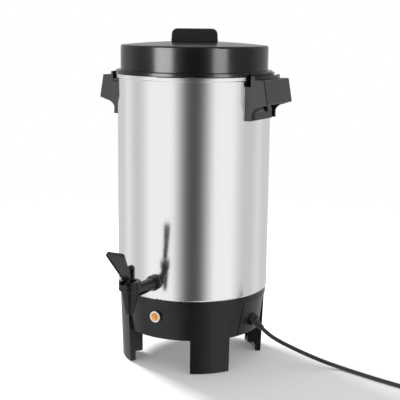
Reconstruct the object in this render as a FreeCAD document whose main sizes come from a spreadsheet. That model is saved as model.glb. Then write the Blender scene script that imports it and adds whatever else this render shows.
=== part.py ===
import FreeCAD, Part
import math
import os
import re
from types import SimpleNamespace

import Sketcher

# Coffee urn: a percolator with a bayonet lid, two open handles, a lever tap and a four-legged base.
# Frame: millimetres, +Z up, origin on the urn's axis at floor level, tap towards -Y, handles on +X and -X.
# An angle named "bearing" is measured at the axis from -Y towards +X.

V = FreeCAD.Vector
ORIGIN = V(0, 0, 0)
UP = V(0, 0, 1)
ALONG_X = V(1, 0, 0)

# Driving sizes, in millimetres and degrees
SIZES = {
    # Vessel
    "shell_radius": 110.0,
    "shell_wall": 1.2,
    "shell_bottom": 107.0,
    "shell_corner": 2.5,
    "floor_thickness": 1.6,
    "rim_top": 416.9,
    "rim_bead_height": 6.6,
    "rim_bead_depth": 2.0,
    "rim_bead_slope": 1.2,
    "well_radius": 27.0,
    "well_depth": 14.0,
    "well_draft": 2.0,
    # Base housing
    "band_inset": 1.5,
    "band_height": 9.7,
    "band_lip": 1.5,
    "skirt_taper": 6.4,
    "skirt_bottom": 48.5,
    "base_wall": 3.0,
    "deck_thickness": 3.0,
    "deck_opening_radius": 62.0,
    "cover_ledge_width": 3.4,
    "cover_ledge_height": 2.0,
    "cover_recess": 5.9,
    "boss_radius": 5.0,
    "boss_inset": 10.6,
    "boss_bearing": 15.0,
    "boss_count": 4,
    "boss_web_sweep": 2.5,
    "pilot_radius": 1.7,
    "pilot_depth": 12.0,
    "seam_width": 1.6,
    "seam_depth": 1.0,
    "seam_top_bearing": 72.4,
    "seam_bottom_bearing": 68.1,
    # Legs
    "leg_count": 4,
    "leg_bearing": 43.1,
    "leg_sweep": 31.8,
    "leg_taper": 3.3,
    "leg_wall": 2.6,
    "leg_return": 8.2,
    "leg_rib": 20.0,
    "leg_rib_bottom": 14.0,
    "leg_floor_gap": 0.8,
    "leg_shelf_bottom": 4.0,
    "leg_shelf_thickness": 3.0,
    "pad_sweep": 18.0,
    "pad_width": 4.4,
    "pad_nub_radius": 1.5,
    "pad_nub_spacing": 11.0,
    # Bottom cover and its screws
    "cover_side_gap": 1.0,
    "cover_thickness": 1.6,
    "cover_slot_count": 12,
    "cover_slot_length": 22.0,
    "cover_slot_width": 3.6,
    "cover_slot_radius": 58.0,
    "screw_radius": 1.6,
    "screw_length": 10.0,
    "screw_head_radius": 3.2,
    "screw_head_height": 2.2,
    "screw_slot": 1.0,
    # Clamp that pulls the vessel on to the base
    "stud_radius": 3.0,
    "stud_length": 20.0,
    "clamp_width": 22.0,
    "clamp_thickness": 2.0,
    "clamp_overlap": 20.0,
    "clamp_side_gap": 6.0,
    "clamp_drop": 20.0,
    "nut_flats": 10.0,
    "nut_height": 5.0,
    # Heaters and controls under the vessel
    "heater_ring_radius": 36.0,
    "heater_tube_radius": 3.4,
    "heater_sweep": 325.0,
    "heater_pin_radius": 1.3,
    "heater_pin_length": 9.0,
    "heater_pin_inset": 2.0,
    "warmer_ring_radius": 47.5,
    "warmer_tube_radius": 2.4,
    "thermostat_radius": 8.2,
    "thermostat_offset": 13.5,
    "tab_width": 3.0,
    "tab_thickness": 0.8,
    "tab_rise": 1.0,
    "fuse_radius": 2.0,
    "fuse_length": 14.0,
    "fuse_lead_radius": 0.6,
    "fuse_lead_length": 6.0,
    "fuse_inset": 5.5,
    "block_length": 28.0,
    "block_depth": 11.0,
    "block_height": 12.0,
    "block_inset": 17.6,
    "block_bearing": 73.0,
    "block_screw_radius": 2.2,
    "block_screw_depth": 3.0,
    "block_screw_spacing": 8.4,
    # Indicator lamp
    "lamp_drop": 25.0,
    "lamp_face_inset": 0.6,
    "lamp_boss_radius": 8.9,
    "lamp_boss_depth": 8.0,
    "bezel_radius": 8.2,
    "bezel_bore": 5.9,
    "bezel_barrel_radius": 6.9,
    "bezel_flange": 3.6,
    "lens_radius": 5.85,
    "lens_rise": 3.4,
    "lamp_holder_length": 13.0,
    "clip_radius": 10.0,
    "clip_thickness": 1.2,
    # Handles
    "handle_half_width": 42.0,
    "handle_wall": 3.0,
    "handle_bottom_drop": 59.9,
    "handle_strip_rise": 0.3,
    "handle_curve_start_drop": 49.6,
    "handle_curve_rise": 12.0,
    "handle_curve_drop": 40.9,
    "handle_curve_radius": 15.0,
    "grip_bottom_rise": 25.4,
    "grip_bottom_drop": 36.7,
    "grip_top_rise": 19.6,
    "handle_top_drop": 4.0,
    "handle_back": 3.6,
    "grip_round": 1.4,
    "handle_deck": 3.4,
    "channel_floor_drop": 13.5,
    "channel_rise": 7.7,
    "rib_thickness": 5.1,
    "rib_height": 5.0,
    "lock_groove_depth": 2.2,
    "lock_groove_height": 4.7,
    "lock_groove_wall": 2.6,
    "lock_groove_spare": 1.2,
    "bolt_low_drop": 45.9,
    "bolt_high_drop": 23.9,
    "bolt_radius": 2.0,
    "bolt_head_radius": 3.6,
    "bolt_head_height": 2.4,
    "bolt_nut_flats": 7.0,
    "bolt_nut_height": 3.0,
    "washer_radius": 4.4,
    "washer_thickness": 1.2,
    # Lid
    "lid_flange_overhang": 0.4,
    "lid_flange_thickness": 5.2,
    "lid_wall_inset": 3.15,
    "lid_wall_thickness": 2.4,
    "lid_rise": 40.3,
    "lid_edge_round": 3.0,
    "lid_dome_rise": 5.4,
    "lid_skirt_side_gap": 1.6,
    "lid_skirt_depth": 8.0,
    "lug_sweep": 39.0,
    "lug_side_gap": 2.5,
    "lug_thickness": 2.0,
    "lug_root": 1.5,
    "lug_floor_gap": 0.6,
    "lug_foot_side_gap": 0.5,
    "lug_foot_height": 3.4,
    "lug_foot_start": 8.0,
    "lug_foot_sweep": 12.0,
    "lock_turn": 12.0,
    "seal_inset": 0.7,
    "seal_width": 2.7,
    "seal_height": 1.5,
    # Lid knob
    "knob_width": 67.0,
    "knob_top_width": 65.0,
    "knob_depth": 20.0,
    "knob_rise": 23.1,
    "knob_corner": 8.0,
    "knob_edge": 1.6,
    "knob_bearing": 28.0,
    "knob_screw_radius": 2.0,
    "knob_screw_spacing": 36.0,
    "knob_screw_length": 12.0,
    "knob_screw_head_radius": 3.6,
    "knob_screw_head_height": 2.0,
    # Tap
    "tap_rise": 25.3,
    "tap_stand_off": 64.0,
    "barrel_radius": 8.8,
    "barrel_bore": 4.8,
    "shank_radius": 7.8,
    "shank_inside": 18.0,
    "collar_stand_off": 3.2,
    "collar_radius": 11.0,
    "collar_thickness": 2.8,
    "shoulder_thickness": 2.6,
    "shoulder_radius": 10.3,
    "tap_washer_radius": 11.6,
    "tap_washer_thickness": 1.6,
    "tap_washer_bow": 1.2,
    "tap_nut_flats": 22.0,
    "tap_nut_height": 6.0,
    "spout_drop": 27.0,
    "spout_radius": 6.3,
    "spout_bore": 4.4,
    "cone_rise": 3.7,
    "cone_radius": 11.9,
    "neck_rise": 8.9,
    "neck_radius": 12.4,
    "seat_drop": 18.3,
    "seat_depth": 6.0,
    "seat_radius_top": 7.4,
    "chamber_radius": 9.3,
    "chamber_drop": 3.3,
    "bonnet_radius": 14.9,
    "bonnet_bottom_rise": 4.9,
    "bonnet_top_rise": 17.7,
    "bonnet_roof": 3.0,
    "bonnet_hole": 8.9,
    "bonnet_notch_width": 15.0,
    "pin_rise": 11.7,
    "pin_radius": 1.5,
    "pin_length": 27.0,
    "spring_cap_thickness": 1.2,
    "spring_cap_bore": 5.4,
    "spring_radius": 6.0,
    "spring_wire": 0.9,
    "spring_turns": 6,
    "cup_brim": 1.8,
    "stem_radius": 2.2,
    "stem_tip_rise": 2.5,
    "yoke_width": 8.2,
    "yoke_depth": 6.0,
    "yoke_slot": 5.0,
    "yoke_bottom_drop": 10.0,
    "yoke_top_rise": 3.0,
    "lever_hub_radius": 3.2,
    "lever_hub_width": 4.4,
    "lever_lean": 36.0,
    "lever_neck_start": 9.0,
    "lever_neck_width": 10.8,
    "lever_length": 62.0,
    "lever_top_width": 27.5,
    "lever_thickness": 5.0,
    "lever_lip": 1.4,
    "lever_corner": 3.0,
    "lever_dish_start": 9.0,
    "lever_tab_width": 9.0,
    "lever_tab_gap": 2.6,
    "lever_tab_rise": 20.5,
    "lever_tab_thickness": 4.5,
    "lever_tab_offset": 3.2,
    "seat_lift": 3.0,
    # Percolator
    "pump_radius": 6.0,
    "pump_bore": 5.0,
    "pump_stand_off": 13.0,
    "pump_rise": 10.1,
    "foot_skirt": 3.0,
    "foot_shoulder": 12.5,
    "foot_height": 19.0,
    "foot_sleeve_height": 8.0,
    "foot_wall": 1.2,
    "foot_port": 3.5,
    "foot_slot_count": 6,
    "foot_slot_radius": 2.0,
    "valve_radius": 6.8,
    "valve_thickness": 1.0,
    "valve_seat_height": 8.0,
    "basket_radius": 76.0,
    "basket_depth": 96.0,
    "basket_drop": 20.9,
    "basket_wall": 0.9,
    "basket_corner": 6.0,
    "basket_sleeve": 7.0,
    "basket_rim": 3.0,
    "stop_radius": 8.6,
    "stop_height": 3.0,
    "basket_hole": 1.4,
    "basket_hole_rings": 4,
    "basket_ring_step": 15.0,
    "spreader_side_gap": 1.5,
    "spreader_thickness": 1.0,
    "spreader_flange_inset": 0.5,
    "spreader_depth": 5.0,
    "spreader_hole": 1.6,
    # Power cord
    "cord_radius": 2.9,
    "cord_lead": 13.0,
    "outlet_bearing": 87.0,
    "outlet_drop": 35.0,
    "outlet_tilt": 35.0,
    "outlet_start_inset": 11.5,
    "outlet_boss_radius": 9.6,
    "outlet_boss_end": 13.2,
    "relief_hole_radius": 5.3,
    "relief_clearance": 0.05,
    "relief_flange_radius": 8.2,
    "relief_flange_thickness": 2.4,
    "relief_tail_length": 13.0,
    "relief_root_radius": 5.4,
    "relief_tip_radius": 3.9,
    "relief_core_inset": 0.2,
    "relief_groove_count": 4,
    "relief_groove_start": 2.0,
    "relief_groove_pitch": 2.6,
    "relief_groove_width": 0.9,
    "coil_outer_radius": 35.6,
    "coil_layer_gap": 0.8,
    "coil_turns_quarters": 9,
    "plug_sleeve_length": 17.0,
    "plug_sleeve_wall": 0.4,
    "plug_sleeve_taper": 0.9,
    "plug_shoulder_length": 16.0,
    "plug_block_length": 22.0,
    "plug_width": 26.0,
    "plug_edge": 3.0,
    "blade_length": 17.5,
    "blade_height": 6.3,
    "blade_thickness": 1.5,
    "blade_spacing": 12.7,
    "blade_offset": 3.2,
    "blade_root": 6.0,
    "earth_pin_radius": 2.4,
    "earth_pin_length": 19.5,
    "earth_pin_offset": 4.2,
    # Clearances
    "fit_gap": 0.05,
    "face_gap": 0.3,
    "seat_gap": 0.15,
    "edge_break": 0.8,
    "overlap": 0.1,
}

# Sizes that follow the driving ones
WORKED_OUT = {
    "band_radius": "shell_radius - band_inset",
    "base_top_radius": "band_radius - band_lip",
    "skirt_radius": "base_top_radius - skirt_taper",
    "leg_foot_radius": "base_top_radius - leg_taper",
    "cover_ledge_bottom": "skirt_bottom + cover_recess",
    "cover_radius": "skirt_radius - base_wall - cover_side_gap",
    "boss_centre_radius": "cover_radius - boss_inset",
    "clamp_reach": "deck_opening_radius + clamp_overlap",
    "clamp_leg_radius": "deck_opening_radius - clamp_side_gap",
    "fuse_distance": "deck_opening_radius - fuse_inset",
    "block_distance": "cover_radius - block_inset",
    "lamp_height": "shell_bottom - lamp_drop",
    "lamp_face": "base_top_radius - lamp_face_inset",
    "outlet_height": "shell_bottom - outlet_drop",
    "outlet_start": "base_top_radius - outlet_start_inset",
    "handle_bottom": "rim_top - handle_bottom_drop",
    "handle_strip_reach": "shell_radius + handle_strip_rise",
    "handle_curve_start": "rim_top - handle_curve_start_drop",
    "handle_curve_reach": "shell_radius + handle_curve_rise",
    "handle_curve_height": "rim_top - handle_curve_drop",
    "grip_bottom_reach": "shell_radius + grip_bottom_rise",
    "grip_bottom": "rim_top - grip_bottom_drop",
    "grip_top_reach": "shell_radius + grip_top_rise",
    "handle_top": "rim_top - handle_top_drop",
    "channel_floor": "rim_top - channel_floor_drop",
    "channel_radius": "shell_radius + channel_rise",
    "bolt_low": "rim_top - bolt_low_drop",
    "bolt_high": "rim_top - bolt_high_drop",
    "lid_flange_radius": "shell_radius + rim_bead_depth + lid_flange_overhang",
    "lid_wall_radius": "shell_radius - shell_wall - lid_wall_inset",
    "lid_skirt_radius": "shell_radius - shell_wall - lid_skirt_side_gap",
    "lid_edge_height": "rim_top + lid_rise",
    "lug_reach": "channel_radius - lug_side_gap",
    "lug_foot_reach": "channel_radius + lock_groove_depth - lug_foot_side_gap",
    "seal_inner_radius": "lid_skirt_radius + seal_inset",
    "seal_outer_radius": "seal_inner_radius + seal_width",
    "knob_top": "lid_edge_height + knob_rise",
    "tap_height": "shell_bottom + tap_rise",
    "tap_reach": "shell_radius + tap_stand_off",
    "shank_inner_end": "shell_radius - shank_inside",
    "collar_face": "shell_radius + collar_stand_off",
    "spout_bottom": "tap_height - spout_drop",
    "cone_top": "tap_height + cone_rise",
    "neck_top": "tap_height + neck_rise",
    "seat_bottom": "tap_height - seat_drop",
    "seat_top": "seat_bottom + seat_depth",
    "chamber_bottom": "tap_height - chamber_drop",
    "bonnet_bottom": "tap_height + bonnet_bottom_rise",
    "bonnet_top": "tap_height + bonnet_top_rise",
    "pin_height": "tap_height + pin_rise",
    "cup_top": "seat_top + cup_brim",
    "yoke_bottom": "pin_height - yoke_bottom_drop",
    "yoke_top": "pin_height + yoke_top_rise",
    "lever_tab_bottom": "bonnet_top + lever_tab_gap",
    "lever_tab_top": "bonnet_top + lever_tab_rise",
    "pump_bottom": "shell_bottom - well_depth + floor_thickness + pump_stand_off",
    "pump_top": "rim_top + pump_rise",
    "foot_radius": "well_radius - well_draft - floor_thickness",
    "basket_top": "rim_top - basket_drop",
    "basket_bottom": "basket_top - basket_depth",
    "spreader_radius": "basket_radius - basket_wall - spreader_side_gap",
    "spreader_flange": "basket_radius + basket_rim - spreader_flange_inset",
}

os.makedirs("parts", exist_ok=True)
doc = FreeCAD.newDocument("coffee_urn")
sheet = doc.addObject("Spreadsheet::Sheet", "Sizes")
names = list(SIZES) + list(WORKED_OUT)
for row, alias in enumerate(names, start=1):
    sheet.set(f"A{row}", alias)
    sheet.setAlias(f"B{row}", alias)
    sheet.set(f"B{row}", str(SIZES[alias]) if alias in SIZES else "=" + WORKED_OUT[alias])
doc.recompute()
size = SimpleNamespace(**{alias: float(getattr(sheet, alias)) for alias in names})

subparts = []


# Formulas

def linked(formula):
    """A formula of size names as an expression on the sheet's cells."""
    def cell(word):
        return f"Sizes.{word[0]}" if word[0] in names else word[0]

    return re.sub(r"[a-z][a-z_]+", cell, str(formula))


def worked_out(formula):
    """The number that a formula gives with the sheet's present values."""
    return float(sheet.evalExpression(linked(formula)))


def bind(thing, prop, formula):
    thing.setExpression(prop, linked(formula))


# Features

def keep(thing, label):
    """Make a document object a sub-part under its own label."""
    thing.Label = label
    subparts.append(thing)
    return thing


def origin_plane(body, role):
    return next(plane for plane in body.Origin.OriginFeatures if plane.Role == role)


def outline_sketch(body, role, corners):
    """Closed sketch. A corner is (x, y), or (x, y, radius, side) where an arc of that radius leads to it.

    The side is 1 where the arc turns left on the way round and -1 where it turns right.
    """
    sketch = body.newObject("Sketcher::SketchObject", body.Name + "_outline")
    sketch.AttachmentSupport = [(origin_plane(body, role), "")]
    sketch.MapMode = "FlatFace"
    places = [V(worked_out(corner[0]), worked_out(corner[1]), 0) for corner in corners]
    count = len(corners)
    starts = []
    ends = []
    for index in range(count):
        here = places[index]
        there = places[(index + 1) % count]
        target = corners[(index + 1) % count]
        if len(target) == 2:
            sketch.addGeometry(Part.LineSegment(here, there), False)
            starts.append((index, 1))
            ends.append((index, 2))
            continue
        radius = worked_out(target[2])
        side = target[3]
        middle = (here + there) * 0.5
        chord = there - here
        left = V(-chord.y, chord.x, 0).normalize()
        rise = math.sqrt(max(radius ** 2 - (chord.Length / 2) ** 2, 0))
        centre = middle + left * rise * side
        first, last = (here, there) if side > 0 else (there, here)
        first_angle = math.atan2(first.y - centre.y, first.x - centre.x)
        last_angle = math.atan2(last.y - centre.y, last.x - centre.x)
        circle = Part.Circle(centre, UP, radius)
        sketch.addGeometry(Part.ArcOfCircle(circle, first_angle, last_angle), False)
        starts.append((index, 1 if side > 0 else 2))
        ends.append((index, 2 if side > 0 else 1))
    for index in range(count):
        end = ends[index]
        start = starts[(index + 1) % count]
        sketch.addConstraint(Sketcher.Constraint("Coincident", end[0], end[1], start[0], start[1]))
    for index, corner in enumerate(corners):
        geometry, point = starts[index]
        if str(corner[0]) == "0":
            sketch.addConstraint(Sketcher.Constraint("PointOnObject", geometry, point, -2))
        else:
            rule = Sketcher.Constraint("DistanceX", -1, 1, geometry, point, places[index].x)
            sketch.setExpression(f"Constraints[{sketch.addConstraint(rule)}]", linked(corner[0]))
        rule = Sketcher.Constraint("DistanceY", -1, 1, geometry, point, places[index].y)
        sketch.setExpression(f"Constraints[{sketch.addConstraint(rule)}]", linked(corner[1]))
        if len(corner) > 2:
            arc = (index - 1) % count
            rule = Sketcher.Constraint("Radius", arc, worked_out(corner[2]))
            sketch.setExpression(f"Constraints[{sketch.addConstraint(rule)}]", linked(corner[2]))
    return sketch


def turned(name, corners):
    """Body made by turning an outline of (radius, height) corners about its own Z axis."""
    body = doc.addObject("PartDesign::Body", name)
    sketch = outline_sketch(body, "XZ_Plane", corners)
    turn = body.newObject("PartDesign::Revolution", name + "_turn")
    turn.Profile = sketch
    turn.ReferenceAxis = (sketch, ["V_Axis"])
    turn.Angle = 360
    sketch.Visibility = False
    return body


def raised(name, corners, height, base="0", role="XY_Plane", midplane=False):
    """Body made by padding an outline by a height."""
    body = doc.addObject("PartDesign::Body", name)
    sketch = outline_sketch(body, role, corners)
    pad = body.newObject("PartDesign::Pad", name + "_pad")
    pad.Profile = sketch
    pad.Midplane = midplane
    bind(pad, "Length", height)
    if base != "0":
        bind(body, ".Placement.Base.z", base)
    return body


def placed(thing, x="0", y="0", z="0", axis=None, angle=0):
    """Turn a thing about an axis through its own origin and move it to a place given by formulas."""
    if axis is not None:
        thing.Placement = FreeCAD.Placement(ORIGIN, FreeCAD.Rotation(axis, angle))
    for letter, formula in (("x", x), ("y", y), ("z", z)):
        if str(formula) != "0":
            bind(thing, f".Placement.Base.{letter}", formula)
    return thing


def towards_tap(thing, height="tap_height"):
    """Lay a turned body's axis along -Y, at a height."""
    return placed(thing, z=height, axis=ALONG_X, angle=90)


def cylinder(name, radius, height, **place):
    thing = doc.addObject("Part::Cylinder", name)
    bind(thing, "Radius", radius)
    bind(thing, "Height", height)
    return placed(thing, **place)


def cut(name, base, tools):
    """Base less one or more tools."""
    tool = tools[0]
    if len(tools) > 1:
        tool = doc.addObject("Part::MultiFuse", name + "_tools")
        tool.Shapes = tools
    thing = doc.addObject("Part::Cut", name)
    thing.Base = base
    thing.Tool = tool
    return thing


def joined(name, things):
    thing = doc.addObject("Part::MultiFuse", name)
    thing.Shapes = things
    return thing


def solid_feature(name, shape):
    thing = doc.addObject("Part::Feature", name)
    thing.Shape = shape
    return thing


# Shapes

def on_bearing(bearing, radius, height=0.0):
    angle = math.radians(bearing)
    return V(radius * math.sin(angle), -radius * math.cos(angle), height)


def turned_to(shape, bearing):
    """A copy of a shape made at bearing 90 (+X), carried round to another bearing."""
    copy = shape.copy()
    copy.rotate(ORIGIN, UP, bearing - 90)
    return copy


def bored(radius, length, start, direction):
    return Part.makeCylinder(radius, length, start, direction)


def sector(inner, outer, low, high, bearing, sweep):
    """Part of a ring, centred on a bearing."""
    sides = (bearing - sweep / 2, bearing, bearing + sweep / 2)
    inside = [on_bearing(side, inner, low) for side in sides]
    outside = [on_bearing(side, outer, low) for side in sides]
    face = Part.Face(Part.Wire([
        Part.makeLine(inside[0], outside[0]),
        Part.Arc(*outside).toShape(),
        Part.makeLine(outside[-1], inside[-1]),
        Part.Arc(*reversed(inside)).toShape(),
    ]))
    return face.extrude(V(0, 0, high - low))


def hexagon(flats, height, start, direction):
    """Nut blank: a hexagon across its flats, along a direction."""
    radius = flats / math.sqrt(3)
    points = []
    for step in range(7):
        angle = math.radians(60 * step)
        points.append(V(radius * math.cos(angle), radius * math.sin(angle), 0))
    body = Part.Face(Part.makePolygon(points)).extrude(V(0, 0, height))
    body.Placement = FreeCAD.Placement(start, FreeCAD.Rotation(UP, direction))
    return body


def arc_between(start, heading, end):
    """Arc that leaves a point along a heading and reaches another point, or a line where they agree."""
    chord = end - start
    cosine = max(-1.0, min(1.0, heading.dot(chord) / chord.Length))
    half = math.acos(cosine)
    if half < 1e-6:
        return Part.makeLine(start, end)
    corner = start + heading * (chord.Length / 2 / math.cos(half))
    middle = (start + end) * 0.5
    crown = (corner - middle).normalize() * (chord.Length / 2 * math.tan(half / 2))
    return Part.Arc(start, middle + crown, end).toShape()


def smooth_path(points, headings):
    """Edges of pairs of tangent arcs through points with headings."""
    edges = []
    for start, out, end, into in zip(points, headings, points[1:], headings[1:]):
        chord = end - start
        both = out + into
        spread = 2 * (1 - out.dot(into))
        along = chord.dot(both)
        if spread < 1e-9:
            reach = chord.dot(chord) / (2 * along)
        else:
            reach = (-along + math.sqrt(along ** 2 + spread * chord.dot(chord))) / spread
        middle = (start + end) * 0.5 + (out - into) * (reach / 2)
        edges.append(arc_between(start, out, middle))
        half_way = (start + out * reach - middle)
        edges.append(arc_between(middle, V(-half_way.x, -half_way.y, -half_way.z).normalize(), end))
    return edges


def curve_path(curve, count):
    """Smooth path along a curve that takes 0 to 1, cut into equal steps."""
    step = 1e-5
    points = []
    headings = []
    for index in range(count + 1):
        share = index / count
        ahead = curve(min(share + step, 1.0))
        behind = curve(max(share - step, 0.0))
        points.append(curve(share))
        headings.append((ahead - behind).normalize())
    return points, headings, smooth_path(points, headings)


def tube(edges, radius, start, heading):
    """Round tube along edges."""
    ring = Part.Wire(Part.makeCircle(radius, start, heading))
    shell = Part.Wire(edges).makePipeShell([ring], True, False)
    return shell


def rounded_route(points, share=0.45):
    """Straight runs joined by tangent arcs, each as large as its runs allow. Gives edges, radii, length."""
    edges = []
    radii = []
    length = 0.0
    at = points[0]
    for before, corner, after in zip(points, points[1:], points[2:]):
        into = (corner - before).normalize()
        out = (after - corner).normalize()
        turn = into.getAngle(out)
        reach = share * min((corner - before).Length, (after - corner).Length)
        radius = reach / math.tan(turn / 2)
        start = corner - into * reach
        end = corner + out * reach
        edges.append(Part.makeLine(at, start))
        edges.append(arc_between(start, into, end))
        length += (start - at).Length + radius * turn
        radii.append(radius)
        at = end
    edges.append(Part.makeLine(at, points[-1]))
    length += (points[-1] - at).Length
    return edges, radii, length


def least_gap_to_itself(curve, count, radius, skip):
    """Least clear gap between stretches of a wound tube that are not neighbours along it."""
    points = [curve(index / count) for index in range(count + 1)]
    least = min(
        (points[first] - points[second]).Length
        for first in range(0, count, 2)
        for second in range(first + skip, count + 1)
    )
    return least - 2 * radius


# Vessel

def tank_vessel():
    inner = "shell_radius - shell_wall"
    well_floor = "shell_bottom - well_depth"
    blank = turned("vessel_blank", [
        ("0", well_floor),
        ("well_radius - well_draft", well_floor),
        ("well_radius", "shell_bottom"),
        ("shell_radius - shell_corner", "shell_bottom"),
        ("shell_radius", "shell_bottom + shell_corner", "shell_corner", 1),
        ("shell_radius", "rim_top - rim_bead_height"),
        ("shell_radius + rim_bead_depth", "rim_top - rim_bead_height + rim_bead_slope"),
        ("shell_radius + rim_bead_depth", "rim_top - rim_bead_slope"),
        ("shell_radius + rim_bead_depth - rim_bead_slope", "rim_top", "rim_bead_slope", 1),
        (inner, "rim_top"),
        (inner, "shell_bottom + floor_thickness"),
        ("well_radius - floor_thickness", "shell_bottom + floor_thickness"),
        ("well_radius - well_draft - floor_thickness", f"{well_floor} + floor_thickness"),
        ("0", f"{well_floor} + floor_thickness"),
    ])
    reach = "shell_radius + 2 * rim_bead_depth"
    tap_hole = cylinder("vessel_tap_hole", "shank_radius + fit_gap", reach)
    holes = [towards_tap(tap_hole)]
    for level in ("bolt_low", "bolt_high"):
        holes.append(cylinder(
            f"vessel_{level}_hole", "bolt_radius + fit_gap", f"2 * ({reach})",
            x=f"-({reach})", z=level, axis=V(0, 1, 0), angle=90))
    keep(cut("vessel", blank, holes), "tank_vessel")


# Base housing

def base_profile_radius(height):
    """Outer radius of the base wall at a height."""
    rise = size.shell_bottom - size.band_height - size.skirt_bottom
    share = (height - size.skirt_bottom) / rise
    return size.skirt_radius + (size.base_top_radius - size.skirt_radius) * share


def leg_radius(height):
    """Outer radius of a leg at a height: level with the base wall under the band."""
    top = size.shell_bottom - size.band_height
    return size.leg_foot_radius + (size.base_top_radius + size.face_gap - size.leg_foot_radius) * height / top


def cone_between(radius_at, low, high, shrink=0.0):
    return Part.makeCone(radius_at(low) - shrink, radius_at(high) - shrink, high - low, V(0, 0, low))


def leg_shape():
    """One leg at bearing 90: a curved panel with two stepped side walls and a shelf for its foot."""
    low = size.leg_floor_gap
    high = size.shell_bottom - size.band_height
    reach = size.shell_radius
    panel = cone_between(leg_radius, low, high).cut(cone_between(leg_radius, low, high, size.leg_wall))
    wedge = sector(reach / 2, reach, low, high, 90, size.leg_sweep)
    panel = panel.common(wedge)
    body = cone_between(leg_radius, low, high).common(wedge)
    inset = size.leg_wall / math.radians(1) / size.leg_foot_radius
    hollow = sector(reach / 2 - 1, reach + 1, low - 1, high + 1, 90, size.leg_sweep - 2 * inset)
    sides = body.cut(hollow)
    inner_return = size.leg_foot_radius - size.leg_return
    inner_rib = size.leg_foot_radius - size.leg_rib
    ring_low = Part.makeCylinder(inner_return, size.leg_rib_bottom - low, V(0, 0, low))
    ring_high = Part.makeCylinder(inner_rib, high - size.leg_rib_bottom, V(0, 0, size.leg_rib_bottom))
    cover_low = size.cover_ledge_bottom - 2 * size.seat_gap - size.cover_thickness
    cover_room = Part.makeCylinder(size.cover_radius + size.face_gap, high - cover_low, V(0, 0, cover_low))
    sides = sides.cut(ring_low).cut(ring_high).cut(cover_room)
    shelf_low = size.leg_shelf_bottom
    shelf_top = shelf_low + size.leg_shelf_thickness
    shelf = sector(inner_return, reach, shelf_low, shelf_top, 90, size.leg_sweep - inset)
    shelf = shelf.common(cone_between(leg_radius, low, high, size.leg_wall / 2))
    return panel.fuse([sides, shelf])


def leg_bearings():
    return [size.leg_bearing + index * 360 / size.leg_count for index in range(int(size.leg_count))]


def boss_bearings():
    return [size.boss_bearing + index * 360 / size.boss_count for index in range(int(size.boss_count))]


def nub_places(bearing):
    """Centres of a foot pad's two nubs."""
    radius = size.leg_foot_radius - size.leg_return + size.pad_width / 2 + size.face_gap
    half = math.degrees(size.pad_nub_spacing / 2 / radius)
    return [on_bearing(bearing + side * half, radius) for side in (-1, 1)]


def outlet_axis():
    """Start and direction of the tilted axis on which the cord leaves the base."""
    tilt = math.radians(size.outlet_tilt)
    start = on_bearing(size.outlet_bearing, size.outlet_start, size.outlet_height)
    direction = on_bearing(size.outlet_bearing, math.cos(tilt), -math.sin(tilt))
    return start, direction


def base_housing():
    band_bottom = size.shell_bottom - size.band_height
    deck_bottom = size.shell_bottom - size.deck_thickness
    low = size.skirt_bottom
    wall = size.base_wall
    ledge_low = size.cover_ledge_bottom
    ledge_high = ledge_low + size.cover_ledge_height
    ledge_radius = base_profile_radius(ledge_low) - wall - size.cover_ledge_width
    corners = [
        V(size.skirt_radius - wall, 0, low),
        V(size.skirt_radius, 0, low),
        V(size.base_top_radius, 0, band_bottom),
        V(size.band_radius, 0, band_bottom + size.face_gap),
        V(size.band_radius, 0, size.shell_bottom),
        V(size.deck_opening_radius, 0, size.shell_bottom),
        V(size.deck_opening_radius, 0, deck_bottom),
        V(size.base_top_radius - wall, 0, deck_bottom),
        V(size.base_top_radius - wall, 0, band_bottom),
        V(base_profile_radius(ledge_high) - wall, 0, ledge_high),
        V(ledge_radius, 0, ledge_high),
        V(ledge_radius, 0, ledge_low),
        V(base_profile_radius(ledge_low) - wall, 0, ledge_low),
    ]
    body = Part.Face(Part.makePolygon(corners + [corners[0]])).revolve(ORIGIN, UP, 360)
    additions = [turned_to(leg_shape(), bearing) for bearing in leg_bearings()]
    boss_top = deck_bottom + wall / 2
    for bearing in boss_bearings():
        centre = on_bearing(bearing, size.boss_centre_radius, ledge_low)
        boss = Part.makeCylinder(size.boss_radius, boss_top - ledge_low, centre)
        web = sector(size.boss_centre_radius, ledge_radius + 1, ledge_low, ledge_high, bearing,
                     size.boss_web_sweep)
        additions.append(boss.fuse(web))
    skin = cone_between(base_profile_radius, low, band_bottom, wall / 2)
    lamp_start = V(0, -(size.lamp_face - size.lamp_boss_depth), size.lamp_height)
    additions.append(bored(size.lamp_boss_radius, size.lamp_boss_depth, lamp_start, V(0, -1, 0)))
    start, direction = outlet_axis()
    additions.append(bored(size.outlet_boss_radius, size.outlet_boss_end, start, direction))
    body = body.fuse(additions).removeSplitter()
    cuts = [bored(size.bezel_barrel_radius + size.fit_gap, size.lamp_boss_depth * 3,
                  lamp_start + V(0, size.lamp_boss_depth, 0), V(0, -1, 0))]
    cuts.append(bored(size.relief_hole_radius, size.outlet_boss_end * 3,
                      start - direction * size.outlet_boss_end, direction))
    for bearing in boss_bearings():
        centre = on_bearing(bearing, size.boss_centre_radius, ledge_low)
        cuts.append(Part.makeCylinder(size.pilot_radius, size.pilot_depth, centre))
    for bearing in leg_bearings():
        for place in nub_places(bearing):
            cuts.append(Part.makeCylinder(size.pad_nub_radius + size.fit_gap, size.leg_rib_bottom, place))
    cuts.append(seam_cutter(low, band_bottom, skin))
    body = body.cut(Part.makeCompound(cuts))
    keep(solid_feature("housing", body.removeSplitter()), "base_housing")


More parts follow.
